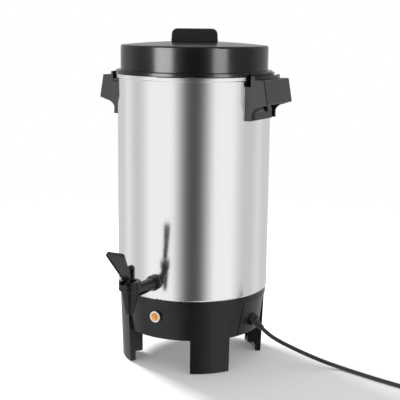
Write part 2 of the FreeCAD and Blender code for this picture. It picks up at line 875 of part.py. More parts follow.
def seam_cutter(low, high, skin):
    """Shallow slanted seam on the outside of the base wall."""
    depth = size.seam_depth
    half = size.seam_width / 2
    top = on_bearing(size.seam_top_bearing, base_profile_radius(high) - depth, high)
    bottom = on_bearing(size.seam_bottom_bearing, base_profile_radius(low) - depth, low - 1)
    outward = on_bearing((size.seam_top_bearing + size.seam_bottom_bearing) / 2, 1.0)
    sideways = UP.cross(outward)
    aside = sideways * half
    corners = [bottom - aside, bottom + aside, top + aside, top - aside]
    slab = Part.Face(Part.makePolygon(corners + [corners[0]])).extrude(outward * (depth * 4))
    return slab.cut(skin)


def foot_pads():
    inner = size.leg_foot_radius - size.leg_return + size.face_gap
    pads = []
    for bearing in leg_bearings():
        pad = sector(inner, inner + size.pad_width, 0, size.leg_shelf_bottom, bearing, size.pad_sweep)
        nub_height = size.leg_shelf_bottom + size.leg_shelf_thickness
        nubs = [Part.makeCylinder(size.pad_nub_radius, nub_height, place) for place in nub_places(bearing)]
        pads.append(pad.fuse(nubs).removeSplitter())
    keep(solid_feature("pads", Part.makeCompound(pads)), "foot_pads")


def bottom_cover():
    top = "cover_ledge_bottom - seat_gap"
    plate = turned("cover_plate", [
        ("stud_radius * 2", f"{top} - cover_thickness"),
        ("cover_radius", f"{top} - cover_thickness"),
        ("cover_radius", top),
        ("stud_radius * 2", top),
    ])
    slots = []
    low = size.cover_ledge_bottom - 3 * size.cover_thickness
    depth = 4 * size.cover_thickness
    for index in range(int(size.cover_slot_count)):
        corner = V(size.cover_slot_radius - size.cover_slot_length / 2, -size.cover_slot_width / 2, low)
        slot = Part.makeBox(size.cover_slot_length, size.cover_slot_width, depth, corner)
        slot.rotate(ORIGIN, UP, index * 360 / size.cover_slot_count)
        slots.append(slot)
    for bearing in boss_bearings():
        centre = on_bearing(bearing, size.boss_centre_radius, low)
        slots.append(Part.makeCylinder(size.screw_radius + size.fit_gap, depth, centre))
    openings = solid_feature("cover_openings", Part.makeCompound(slots))
    keep(cut("cover", plate, [openings]), "bottom_cover")
    screws = []
    head_top = size.cover_ledge_bottom - size.seat_gap - size.cover_thickness
    for bearing in boss_bearings():
        centre = on_bearing(bearing, size.boss_centre_radius)
        head = Part.makeCylinder(size.screw_head_radius, size.screw_head_height,
                                 centre + V(0, 0, head_top - size.screw_head_height))
        shank = Part.makeCylinder(size.screw_radius, size.screw_length,
                                  centre + V(0, 0, head_top - size.overlap))
        slot = Part.makeBox(size.screw_head_radius * 2, size.screw_slot, size.screw_slot,
                            centre + V(-size.screw_head_radius, -size.screw_slot / 2,
                                       head_top - size.screw_head_height))
        screws.append(head.fuse(shank).cut(slot).removeSplitter())
    keep(solid_feature("cover_screws", Part.makeCompound(screws)), "bottom_screws")


# Clamp, heaters and controls

def clamp_parts():
    well_floor = "shell_bottom - well_depth"
    stud = cylinder("stud", "stud_radius", "stud_length", z=f"{well_floor} - stud_length")
    keep(stud, "clamp_stud")
    flange_top = size.shell_bottom - size.deck_thickness - size.seat_gap
    thickness = size.clamp_thickness
    drop = flange_top - size.clamp_drop
    half = size.clamp_width / 2
    leg = size.clamp_leg_radius
    reach = size.clamp_reach
    outline = [
        V(-half, -reach, flange_top), V(-half, -leg, flange_top), V(-half, -leg, drop), V(-half, leg, drop),
        V(-half, leg, flange_top), V(-half, reach, flange_top), V(-half, reach, flange_top - thickness),
        V(-half, leg + thickness, flange_top - thickness), V(-half, leg + thickness, drop - thickness),
        V(-half, -leg - thickness, drop - thickness), V(-half, -leg - thickness, flange_top - thickness),
        V(-half, -reach, flange_top - thickness),
    ]
    strap = Part.Face(Part.makePolygon(outline + [outline[0]])).extrude(V(size.clamp_width, 0, 0))
    stud_hole = size.stud_radius + size.fit_gap
    strap = strap.cut(Part.makeCylinder(stud_hole, thickness * 4, V(0, 0, drop - thickness * 2)))
    keep(solid_feature("strap", strap), "clamp_strap")
    nut = hexagon(size.nut_flats, size.nut_height, V(0, 0, drop - thickness - size.nut_height), UP)
    nut = nut.cut(Part.makeCylinder(stud_hole, size.nut_height * 3,
                                    V(0, 0, drop - thickness - size.nut_height * 2)))
    keep(solid_feature("nut", nut), "clamp_nut")


def ring_heater(name, ring_radius, tube_radius, bearing):
    """Open ring of sheathed heater under the vessel floor, with a terminal pin at each end."""
    level = size.shell_bottom - tube_radius - size.seat_gap
    ring = Part.makeTorus(ring_radius, tube_radius, V(0, 0, level), UP, 0, 360, size.heater_sweep)
    ring.rotate(ORIGIN, UP, bearing - 90)
    pins = []
    drop = size.heater_pin_length + tube_radius
    for angle in (bearing + size.heater_pin_inset, bearing + size.heater_sweep - size.heater_pin_inset):
        place = on_bearing(angle, ring_radius, level - drop)
        pins.append(Part.makeCylinder(size.heater_pin_radius, drop, place))
    shape = ring.fuse(pins).removeSplitter()
    keep(solid_feature(name + "_ring", shape), name)


def controls():
    well_floor = size.shell_bottom - size.well_depth
    strap_top = size.shell_bottom - size.deck_thickness - size.seat_gap - size.clamp_drop
    height = well_floor - strap_top - 2 * size.seat_gap
    place = V(0, size.thermostat_offset, strap_top + size.seat_gap)
    disc = Part.makeCylinder(size.thermostat_radius, height, place)
    for side in (-1, 1):
        corner = place + V((side - 0.5) * size.thermostat_radius, -size.tab_width / 2, size.tab_rise)
        tab = Part.makeBox(size.thermostat_radius, size.tab_width, size.tab_thickness, corner)
        disc = disc.fuse(tab)
    keep(solid_feature("thermostat_disc", disc.removeSplitter()), "thermostat")
    level = size.shell_bottom - size.fuse_radius - size.seat_gap
    fuse = Part.makeCylinder(size.fuse_radius, size.fuse_length,
                             V(-size.fuse_distance, -size.fuse_length / 2, level), V(0, 1, 0))
    for side in (-1, 1):
        start = V(-size.fuse_distance, side * size.fuse_length / 2, level)
        lead = Part.makeCylinder(size.fuse_lead_radius, size.fuse_lead_length, start, V(0, side, 0))
        fuse = fuse.fuse(lead)
    keep(solid_feature("fuse_body", fuse.removeSplitter()), "thermal_fuse")
    top = size.shell_bottom - size.deck_thickness - size.seat_gap
    half = size.block_length / 2
    body = Part.makeBox(size.block_depth, size.block_length, size.block_height,
                        V(size.block_distance - size.block_depth / 2, -half, top - size.block_height))
    for side in (-1, 0, 1):
        start = V(size.block_distance, side * size.block_screw_spacing, top - size.block_height)
        body = body.cut(Part.makeCylinder(size.block_screw_radius, size.block_screw_depth, start))
    keep(solid_feature("block", turned_to(body, size.block_bearing)), "terminal_block")


# Indicator lamp

def lamp():
    face = "lamp_face"
    back = "lamp_face - lamp_boss_depth"
    bezel = turned("bezel", [
        ("bezel_bore", f"{back} - 3 * clip_thickness"),
        ("bezel_barrel_radius", f"{back} - 3 * clip_thickness"),
        ("bezel_barrel_radius", face),
        ("bezel_radius", face),
        ("bezel_radius", f"{face} + bezel_flange - 1.2"),
        ("bezel_radius - 1.2", f"{face} + bezel_flange", "1.2", 1),
        ("bezel_bore", f"{face} + bezel_flange"),
    ])
    keep(towards_tap(bezel, "lamp_height"), "lamp_bezel")
    lens = turned("lens", [
        ("0", back),
        ("lens_radius", back),
        ("lens_radius", f"{face} + bezel_flange"),
        ("0", f"{face} + bezel_flange + lens_rise", "(lens_radius ^ 2 + lens_rise ^ 2) / (2 * lens_rise)", 1),
    ])
    keep(towards_tap(lens, "lamp_height"), "lamp_lens")
    holder = turned("holder", [
        ("0", f"{back} - lamp_holder_length"),
        ("bezel_bore - 1", f"{back} - lamp_holder_length"),
        ("bezel_bore - fit_gap", f"{back} - lamp_holder_length + 2"),
        ("bezel_bore - fit_gap", f"{back} - seat_gap"),
        ("0", f"{back} - seat_gap"),
    ])
    keep(towards_tap(holder, "lamp_height"), "lamp_holder")
    clip = turned("clip", [
        ("bezel_barrel_radius + fit_gap", f"{back} - seat_gap - clip_thickness"),
        ("clip_radius", f"{back} - seat_gap - clip_thickness"),
        ("clip_radius", f"{back} - seat_gap"),
        ("bezel_barrel_radius + fit_gap", f"{back} - seat_gap"),
    ])
    keep(towards_tap(clip, "lamp_height"), "lamp_clip")


# Handles

def handle_shape():
    """The +X handle: a back plate on the shell, two webs, a sloping grip and a channel for the lid's lug."""
    half = size.handle_half_width
    low = size.handle_bottom
    top = size.handle_top
    centre = size.shell_radius * 0.86
    strip = V(size.handle_strip_reach, -half, size.handle_curve_start)
    bend = V(size.handle_curve_reach, -half, size.handle_curve_height)
    start = V(size.handle_strip_reach, -half, low)
    bottom = V(size.grip_bottom_reach, -half, size.grip_bottom)
    crown = V(size.grip_top_reach, -half, top)
    chord = bend - strip
    middle = (strip + bend) * 0.5 + V(-chord.z, 0, chord.x).normalize() * (
        size.handle_curve_radius - math.sqrt(size.handle_curve_radius ** 2 - (chord.Length / 2) ** 2))
    outline = Part.Wire([
        Part.makeLine(V(centre, -half, low), start),
        Part.makeLine(start, strip),
        Part.Arc(strip, middle, bend).toShape(),
        Part.makeLine(bend, bottom),
        Part.makeLine(bottom, crown),
        Part.makeLine(crown, V(centre, -half, top)),
        Part.makeLine(V(centre, -half, top), V(centre, -half, low)),
    ])
    body = Part.Face(outline).extrude(V(0, 2 * half, 0))
    edges = [edge for edge in body.Edges if edge.BoundBox.XMin > size.grip_top_reach - 0.5
             and edge.BoundBox.ZMin > size.grip_bottom - 0.5]
    body = body.makeFillet(size.grip_round, edges)
    rib_outer = size.channel_radius + size.rib_thickness
    slab = Part.makeBox(size.shell_radius, 2 * half, size.rib_height + top - size.channel_floor + 10,
                        V(centre, -half, size.channel_floor - 10))
    rib = Part.makeCylinder(rib_outer, size.rib_height + 1, V(0, 0, top - 1))
    body = body.fuse(rib.common(slab)).removeSplitter()
    body = body.cut(handle_pocket())
    body = body.cut(Part.makeCylinder(size.shell_radius + size.seat_gap, top, V(0, 0, low - 1)))
    lift = top + size.rib_height + 2 - size.channel_floor
    body = body.cut(Part.makeCylinder(size.channel_radius, lift, V(0, 0, size.channel_floor)))
    body = body.cut(lock_groove())
    for level in (size.bolt_low, size.bolt_high):
        body = body.cut(bored(size.bolt_radius + size.fit_gap, size.handle_back * 3,
                              V(size.shell_radius - size.handle_back, 0, level), ALONG_X))
    return body.removeSplitter()


def handle_pocket():
    """Finger space, open below, behind the grip."""
    half = size.handle_half_width - size.handle_wall
    slope = (size.grip_bottom_reach - size.grip_top_reach) / (size.handle_top - size.grip_bottom)
    roof = size.handle_top - size.handle_deck
    low = size.handle_bottom - 5
    front_roof = size.grip_top_reach - size.handle_wall + slope * (size.handle_top - roof)
    front_low = size.grip_top_reach - size.handle_wall + slope * (size.handle_top - low)
    inner = size.shell_radius * 0.7
    corners = [
        V(inner, -half, low), V(front_low, -half, low), V(front_roof, -half, roof), V(inner, -half, roof),
    ]
    space = Part.Face(Part.makePolygon(corners + [corners[0]])).extrude(V(0, 2 * half, 0))
    channel_under = size.channel_floor - size.handle_wall
    space = space.cut(Part.makeCylinder(size.shell_radius + size.handle_back, roof, V(0, 0, low - 1)))
    behind_rib = size.channel_radius + size.lock_groove_depth + size.lock_groove_wall
    space = space.cut(Part.makeCylinder(behind_rib, roof, V(0, 0, channel_under)))
    return space


def lock_groove():
    """Undercut in the channel's outer wall, with an entry for the lug's foot at its anticlockwise end."""
    outer = size.channel_radius + size.lock_groove_depth
    floor = size.channel_floor + size.lug_floor_gap
    spare = size.lock_groove_spare
    entry_start = size.lug_foot_start - spare
    entry_end = size.lug_foot_start + size.lug_foot_sweep + spare
    groove_start = size.lug_foot_start - size.lock_turn - spare
    groove = sector(size.channel_radius - 1, outer, floor, floor + size.lock_groove_height,
                    90 + (groove_start + entry_end) / 2, entry_end - groove_start)
    entry_top = size.handle_top + size.rib_height + 1
    entry = sector(size.channel_radius - 1, outer, floor, entry_top,
                   90 + (entry_start + entry_end) / 2, entry_end - entry_start)
    return groove.fuse(entry)


def handles():
    right = handle_shape()
    keep(solid_feature("right_handle", right), "handle_right")
    keep(solid_feature("left_handle", turned_to(right, 270)), "handle_left")
    bolts = []
    nuts = []
    washers = []
    seat = math.sqrt((size.shell_radius - size.shell_wall) ** 2 - size.washer_radius ** 2)
    washer_face = seat - size.washer_thickness
    back_face = size.shell_radius + size.handle_back
    bolt_way = size.bolt_radius + size.fit_gap
    for bearing in (90, 270):
        for level in (size.bolt_low, size.bolt_high):
            washer = bored(size.washer_radius, size.washer_thickness, V(washer_face, 0, level), ALONG_X)
            way_start = V(washer_face - size.washer_thickness, 0, level)
            washer = washer.cut(bored(bolt_way, 3 * size.washer_thickness, way_start, ALONG_X))
            head = bored(size.bolt_head_radius, size.bolt_head_height,
                         V(washer_face - size.bolt_head_height, 0, level), ALONG_X)
            shank_length = back_face + size.bolt_nut_height + 1.0 - washer_face
            shank = bored(size.bolt_radius, shank_length + size.overlap,
                          V(washer_face - size.overlap, 0, level), ALONG_X)
            nut = hexagon(size.bolt_nut_flats, size.bolt_nut_height,
                          V(back_face + size.seat_gap, 0, level), ALONG_X)
            way_start = V(back_face - size.bolt_nut_height, 0, level)
            nut = nut.cut(bored(bolt_way, 3 * size.bolt_nut_height, way_start, ALONG_X))
            bolts.append(turned_to(head.fuse(shank).removeSplitter(), bearing))
            nuts.append(turned_to(nut, bearing))
            washers.append(turned_to(washer, bearing))
    keep(solid_feature("bolts", Part.makeCompound(bolts)), "handle_bolts")
    keep(solid_feature("bolt_nuts", Part.makeCompound(nuts)), "handle_nuts")
    keep(solid_feature("bolt_washers", Part.makeCompound(washers)), "handle_washers")


# Lid

def lid_sphere_radius():
    """Formula for the radius of the lid's domed top."""
    reach = "(lid_wall_radius - lid_edge_round)"
    return f"(({reach} ^ 2 + lid_dome_rise ^ 2) / (2 * lid_dome_rise))"


def lid():
    flange_low = "rim_top + seat_gap"
    flange_top = "rim_top + lid_flange_thickness"
    apex = "lid_edge_height + lid_dome_rise"
    wall = "lid_wall_thickness"
    dome = lid_sphere_radius()
    skirt_low = "rim_top - lid_skirt_depth"
    groove_top = f"{flange_low} + seal_height + seat_gap"
    cap = turned("lid_cap", [
        ("0", f"{apex} - {wall}"),
        (f"lid_wall_radius - {wall}", f"lid_edge_height - {wall}", f"{dome} - {wall}", -1),
        (f"lid_wall_radius - {wall}", skirt_low),
        ("lid_skirt_radius", skirt_low),
        ("lid_skirt_radius", groove_top),
        ("seal_outer_radius + face_gap", groove_top),
        ("seal_outer_radius + face_gap", flange_low),
        ("lid_flange_radius", flange_low),
        ("lid_flange_radius", f"{flange_top} - 1"),
        ("lid_flange_radius - 1", flange_top, "1", 1),
        ("lid_wall_radius", flange_top),
        ("lid_wall_radius", "lid_edge_height - lid_edge_round"),
        ("lid_wall_radius - lid_edge_round", "lid_edge_height", "lid_edge_round", 1),
        ("0", apex, dome, 1),
    ])
    lugs = []
    lug_low = size.channel_floor + size.lug_floor_gap
    plate_low = size.rim_top + size.seat_gap
    plate_top = size.rim_top + size.lid_flange_thickness - 1
    inner = size.lug_reach - size.lug_thickness
    for bearing in (90, 270):
        plate = sector(size.lid_flange_radius - size.lug_root, size.lug_reach, plate_low, plate_top,
                       bearing, size.lug_sweep)
        drop = sector(inner, size.lug_reach, lug_low, plate_low + 0.5, bearing, size.lug_sweep)
        foot_bearing = bearing + size.lug_foot_start + size.lug_foot_sweep / 2
        foot_low = lug_low + 0.3
        foot = sector(inner, size.lug_foot_reach, foot_low, foot_low + size.lug_foot_height,
                      foot_bearing, size.lug_foot_sweep)
        lugs.append(plate.fuse([drop, foot]))
    lug_feature = solid_feature("lid_lugs", Part.makeCompound(lugs))
    whole = joined("lid_with_lugs", [cap, lug_feature])
    holes = []
    half = size.knob_screw_spacing / 2
    for side in (-1, 1):
        level = size.lid_edge_height - size.lid_wall_thickness * 3
        place = on_bearing(size.knob_bearing + 90, side * half, level)
        holes.append(Part.makeCylinder(size.knob_screw_radius + size.fit_gap, size.lid_dome_rise * 4, place))
    screw_holes = solid_feature("knob_screw_holes", Part.makeCompound(holes))
    keep(cut("lid_body", whole, [screw_holes]), "lid_cover")
    seal = turned("seal", [
        ("seal_inner_radius", "rim_top"),
        ("seal_outer_radius", "rim_top"),
        ("seal_outer_radius", "rim_top + seal_height"),
        ("seal_inner_radius", "rim_top + seal_height"),
    ])
    keep(seal, "lid_seal")


def knob():
    half = "knob_width / 2"
    top_half = "knob_top_width / 2"
    low = "lid_edge_height"
    body = raised("knob_bar", [
        (f"-{half}", low),
        (half, low),
        (top_half, "knob_top - knob_corner"),
        (f"{top_half} - knob_corner", "knob_top", "knob_corner", 1),
        (f"-({top_half} - knob_corner)", "knob_top"),
        (f"-{top_half}", "knob_top - knob_corner", "knob_corner", 1),
    ], "knob_depth", role="XZ_Plane", midplane=True)
    doc.recompute()
    pad = body.Tip
    half_depth = size.knob_depth / 2
    names = []
    for index, edge in enumerate(pad.Shape.Edges, start=1):
        box = edge.BoundBox
        on_side = abs(abs(box.YMin) - half_depth) < 0.01 and box.YLength < 0.01
        if on_side and box.ZMax > size.lid_edge_height + size.lid_dome_rise + 2:
            names.append(f"Edge{index}")
    rounding = body.newObject("PartDesign::Fillet", "knob_rounding")
    rounding.Base = (pad, names)
    bind(rounding, "Radius", "knob_edge")
    body.Placement = FreeCAD.Placement(ORIGIN, FreeCAD.Rotation(UP, size.knob_bearing))
    bind(body, ".Placement.Rotation.Angle", "knob_bearing")
    dome = doc.addObject("Part::Sphere", "lid_dome")
    bind(dome, "Radius", f"{lid_sphere_radius()} + seat_gap")
    placed(dome, z=f"lid_edge_height + lid_dome_rise - {lid_sphere_radius()}")
    holes = []
    screws = []
    inner_top = size.lid_edge_height + size.lid_dome_rise - size.lid_wall_thickness - size.seat_gap
    drop = (size.knob_screw_spacing / 2) ** 2 / (2 * worked_out(lid_sphere_radius()))
    seat = inner_top - drop - size.overlap
    for side in (-1, 1):
        place = on_bearing(size.knob_bearing + 90, side * size.knob_screw_spacing / 2, seat)
        screw_way = size.knob_screw_radius + size.fit_gap
        holes.append(Part.makeCylinder(screw_way, size.knob_screw_length + 1, place))
        head = Part.makeCylinder(size.knob_screw_head_radius, size.knob_screw_head_height,
                                 place - V(0, 0, size.knob_screw_head_height))
        shank = Part.makeCylinder(size.knob_screw_radius, size.knob_screw_length + size.overlap,
                                  place - V(0, 0, size.overlap))
        screws.append(head.fuse(shank).removeSplitter())
    blind = solid_feature("knob_holes", Part.makeCompound(holes))
    keep(cut("knob_body", body, [dome, blind]), "lid_knob")
    keep(solid_feature("knob_screw_pair", Part.makeCompound(screws)), "knob_screws")


# Tap

def tap_axis(height=0.0):
    return V(0, -size.tap_reach, height)


def tap():
    reach = "-tap_reach"
    cone = turned("spout_cone", [
        ("0", "spout_bottom"),
        ("spout_radius", "spout_bottom"),
        ("cone_radius", "cone_top"),
        ("neck_radius", "cone_top + 0.5"),
        ("neck_radius", "neck_top"),
        ("0", "neck_top"),
    ])
    placed(cone, y=reach)
    shoulder = "collar_face + collar_thickness"
    barrel = turned("barrel", [
        ("0", "shank_inner_end"),
        ("shank_radius - edge_break", "shank_inner_end"),
        ("shank_radius", "shank_inner_end + edge_break"),
        ("shank_radius", shoulder),
        ("shoulder_radius", shoulder),
        ("shoulder_radius", f"{shoulder} + shoulder_thickness"),
        ("barrel_radius", f"{shoulder} + shoulder_thickness + edge_break"),
        ("barrel_radius", "tap_reach"),
        ("0", "tap_reach"),
    ])
    towards_tap(barrel)
    bore = cylinder("barrel_hole", "barrel_bore", "tap_reach - shank_inner_end + 1",
                    y="-(shank_inner_end - 1)", z="tap_height", axis=ALONG_X, angle=90)
    inside = turned("spout_inside", [
        ("0", "spout_bottom - 1"),
        ("spout_bore", "spout_bottom - 1"),
        ("spout_bore", "seat_bottom"),
        ("seat_radius_top", "seat_top"),
        ("chamber_radius", "chamber_bottom"),
        ("chamber_radius", "neck_top + 1"),
        ("0", "neck_top + 1"),
    ])
    placed(inside, y=reach)
    keep(cut("tap_casting", joined("tap_outside", [cone, barrel]), [bore, inside]), "tap_body")

    shell_core = cylinder("shell_core", "shell_radius + seat_gap", "tap_height", z="tap_height / 2")
    gasket = turned("outer_gasket", [
        ("shank_radius + fit_gap", "shell_radius - collar_stand_off"),
        ("collar_radius - edge_break / 2", "shell_radius - collar_stand_off"),
        ("collar_radius - edge_break / 2", "collar_face - seat_gap"),
        ("shank_radius + fit_gap", "collar_face - seat_gap"),
    ])
    keep(cut("outer_gasket_fitted", towards_tap(gasket), [shell_core]), "tap_gasket_outer")
    collar = turned("collar", [
        ("shank_radius + fit_gap", "collar_face"),
        ("collar_radius", "collar_face"),
        ("collar_radius", f"{shoulder} - edge_break"),
        ("collar_radius - edge_break", f"{shoulder} - seat_gap"),
        ("shank_radius + fit_gap", f"{shoulder} - seat_gap"),
    ])
    keep(towards_tap(collar), "tap_collar")
    inner_seat = "shell_radius - shell_wall - tap_washer_bow"
    inner_gasket = turned("inner_gasket", [
        ("shank_radius + fit_gap", f"{inner_seat} - tap_washer_thickness"),
        ("tap_washer_radius", f"{inner_seat} - tap_washer_thickness"),
        ("tap_washer_radius", "shell_radius"),
        ("shank_radius + fit_gap", "shell_radius"),
    ])
    inside_core = cylinder("inside_core", "shell_radius - shell_wall - seat_gap", "tap_height",
                           z="tap_height / 2")
    fitted = doc.addObject("Part::Common", "inner_gasket_fitted")
    fitted.Base = towards_tap(inner_gasket)
    fitted.Tool = inside_core
    keep(fitted, "tap_gasket_inner")
    nut_face = worked_out(f"{inner_seat} - tap_washer_thickness - seat_gap")
    towards = V(0, -1, 0)
    nut = hexagon(size.tap_nut_flats, size.tap_nut_height,
                  V(0, -(nut_face - size.tap_nut_height), size.tap_height), towards)
    nut = nut.cut(bored(size.shank_radius + size.fit_gap, 3 * size.tap_nut_height,
                        V(0, -(nut_face - 2 * size.tap_nut_height), size.tap_height), towards))
    keep(solid_feature("shank_nut", nut), "tap_nut")

    bonnet = turned("bonnet", [
        ("neck_radius + fit_gap", "bonnet_bottom"),
        ("bonnet_radius - edge_break", "bonnet_bottom"),
        ("bonnet_radius", "bonnet_bottom + edge_break"),
        ("bonnet_radius", "bonnet_top - 1"),
        ("bonnet_radius - 1", "bonnet_top", "1", 1),
        ("bonnet_hole", "bonnet_top"),
        ("bonnet_hole", "bonnet_top - bonnet_roof"),
        ("neck_radius + fit_gap", "bonnet_top - bonnet_roof"),
    ])
    placed(bonnet, y=reach)
    pin_hole = cylinder("pin_hole", "pin_radius + fit_gap", "pin_length + 2 * fit_gap",
                        x="-(pin_length / 2 + fit_gap)", y=reach, z="pin_height", axis=V(0, 1, 0), angle=90)
    notch_low = size.pin_height + size.pin_radius + size.edge_break
    notch = Part.makeBox(size.bonnet_notch_width, size.bonnet_radius, size.bonnet_top - notch_low + 1,
                         V(-size.bonnet_notch_width / 2, -size.tap_reach - size.bonnet_radius - 1, notch_low))
    notch_feature = solid_feature("bonnet_notch", notch)
    barrel_way = cylinder("bonnet_barrel_way", "barrel_radius + face_gap", "bonnet_radius + 1",
                          y="-(tap_reach - bonnet_radius - 1)", z="tap_height", axis=ALONG_X, angle=90)
    keep(cut("bonnet_cut", bonnet, [pin_hole, notch_feature, barrel_way]), "tap_bonnet")
    pin = cylinder("pivot_pin", "pin_radius", "pin_length", x="-pin_length / 2", y=reach, z="pin_height",
                   axis=V(0, 1, 0), angle=90)
    keep(pin, "tap_pin")
    tap_valve()
    keep(solid_feature("lever", lever_shape()), "tap_lever")


def tap_valve():
    """Lifting stem, silicone cup, spring and the washer that the spring bears on."""
    half = size.yoke_width / 2
    deep = size.yoke_depth / 2
    yoke = Part.makeBox(size.yoke_width, size.yoke_depth, size.yoke_top - size.yoke_bottom,
                        tap_axis(size.yoke_bottom) - V(half, deep, 0))
    slot_low = size.pin_height - size.lever_hub_radius - size.seat_lift - 1.0
    slot = Part.makeBox(size.yoke_slot, size.yoke_depth + 2, size.yoke_top - slot_low + 1,
                        tap_axis(slot_low) - V(size.yoke_slot / 2, deep + 1, 0))
    pin_slot = Part.makeBox(size.yoke_width + 2, 2 * size.pin_radius + 0.2,
                            2 * size.pin_radius + size.seat_lift + 0.8,
                            tap_axis(size.pin_height - size.pin_radius - size.seat_lift - 0.4)
                            - V(half + 1, size.pin_radius + 0.1, 0))
    rod_low = size.seat_bottom + size.stem_tip_rise
    rod = Part.makeCylinder(size.stem_radius, size.yoke_bottom - rod_low + 1, tap_axis(rod_low))
    stem = yoke.cut(slot).cut(pin_slot).fuse(rod).removeSplitter()
    keep(solid_feature("valve_stem", stem), "tap_stem")
    gap = size.face_gap
    cup_radius = size.seat_radius_top - gap
    plug_radius = size.spout_bore - gap
    corners = [
        V(0, 0, size.seat_bottom + gap), V(plug_radius, 0, size.seat_bottom + gap),
        V(cup_radius, 0, size.seat_top + gap), V(cup_radius, 0, size.cup_top), V(0, 0, size.cup_top),
    ]
    cup = Part.Face(Part.makePolygon(corners + [corners[0]])).revolve(ORIGIN, UP, 360)
    cup.translate(tap_axis())
    cup = cup.cut(Part.makeCylinder(size.stem_radius + size.fit_gap, size.cup_top - size.seat_bottom,
                                    tap_axis(rod_low - size.fit_gap)))
    keep(solid_feature("valve_cup", cup), "tap_seat_cup")
    corners = [
        V(size.spring_cap_bore, 0, size.neck_top), V(size.neck_radius - 0.4, 0, size.neck_top),
        V(size.neck_radius - 0.4, 0, size.neck_top + size.spring_cap_thickness),
        V(size.spring_cap_bore, 0, size.neck_top + size.spring_cap_thickness),
    ]
    cap = Part.Face(Part.makePolygon(corners + [corners[0]])).revolve(ORIGIN, UP, 360)
    cap.translate(tap_axis())
    keep(solid_feature("spring_washer", cap), "tap_spring_cap")
    wire = size.spring_wire / 2
    low = size.cup_top + wire + size.fit_gap
    high = size.neck_top - wire - size.fit_gap

    def wound(share):
        angle = 2 * math.pi * size.spring_turns * share
        return tap_axis(low + (high - low) * share) + V(
            size.spring_radius * math.cos(angle), size.spring_radius * math.sin(angle), 0)

    points, headings, edges = curve_path(wound, int(size.spring_turns * 4))
    keep(solid_feature("valve_spring", tube(edges, wire, points[0], headings[0])), "tap_spring")


def lever_shape():
    """Lever paddle, built upright at its pin and then leaned outwards."""
    start = size.lever_neck_start
    length = size.lever_length
    half_low = size.lever_neck_width / 2
    half_high = size.lever_top_width / 2
    thick = size.lever_thickness
    hub = bored(size.lever_hub_radius, size.lever_hub_width, V(-size.lever_hub_width / 2, 0, 0), ALONG_X)
    hub = hub.cut(bored(size.pin_radius + size.fit_gap, 2 * size.lever_hub_width,
                        V(-size.lever_hub_width, 0, 0), ALONG_X))
    shank_low = size.lever_hub_radius - size.edge_break
    shank = Part.makeBox(size.lever_hub_width, thick, start + 1 - shank_low,
                         V(-size.lever_hub_width / 2, -thick / 2, shank_low))
    fan_corners = [V(-half_low, -thick / 2, start), V(half_low, -thick / 2, start),
                   V(half_high, -thick / 2, length), V(-half_high, -thick / 2, length)]
    fan = Part.Face(Part.makePolygon(fan_corners + [fan_corners[0]])).extrude(V(0, thick, 0))
    corners = [edge for edge in fan.Edges
               if edge.BoundBox.ZMin > length - 0.01 and edge.BoundBox.YLength > thick - 0.01]
    fan = fan.makeFillet(size.lever_corner, corners)
    dish_low = start + size.lever_dish_start
    share = (dish_low - start) / (length - start)
    half_dish = half_low + (half_high - half_low) * share - size.lever_lip * 1.6
    dish_corners = [V(-half_dish, -thick / 2 - 1, dish_low), V(half_dish, -thick / 2 - 1, dish_low),
                    V(half_high - size.lever_lip * 1.8, -thick / 2 - 1, length - size.lever_lip * 1.6),
                    V(-half_high + size.lever_lip * 1.8, -thick / 2 - 1, length - size.lever_lip * 1.6)]
    dish_face = Part.Face(Part.makePolygon(dish_corners + [dish_corners[0]]))
    dish = dish_face.extrude(V(0, 1 + size.lever_lip / 2, 0))
    fan = fan.cut(dish)
    lever = hub.fuse([shank, fan])
    lever.rotate(ORIGIN, ALONG_X, size.lever_lean)
    lever.translate(tap_axis(size.pin_height))
    tab_low = size.lever_tab_bottom
    tab_high = size.lever_tab_top
    radius = size.lever_tab_width / 2
    face = -size.tap_reach + size.lever_tab_offset - size.lever_tab_thickness / 2
    tab = Part.makeBox(2 * radius, size.lever_tab_thickness, tab_high - radius - tab_low,
                       V(-radius, face, tab_low))
    tab = tab.fuse(bored(radius, size.lever_tab_thickness, V(0, face, tab_high - radius), V(0, 1, 0)))
    web_half = size.lever_hub_width / 2
    slope = math.tan(math.radians(size.lever_lean))
    web_top = tab_high - radius
    web_corners = [
        V(-web_half, face + 1, tab_low), V(-web_half, face + 1, web_top),
        V(-web_half, -size.tap_reach - (web_top - size.pin_height) * slope, web_top),
        V(-web_half, -size.tap_reach - (tab_low - size.pin_height) * slope, tab_low),
    ]
    web = Part.Face(Part.makePolygon(web_corners + [web_corners[0]])).extrude(V(2 * web_half, 0, 0))
    return lever.fuse([tab, web]).removeSplitter()


# Percolator

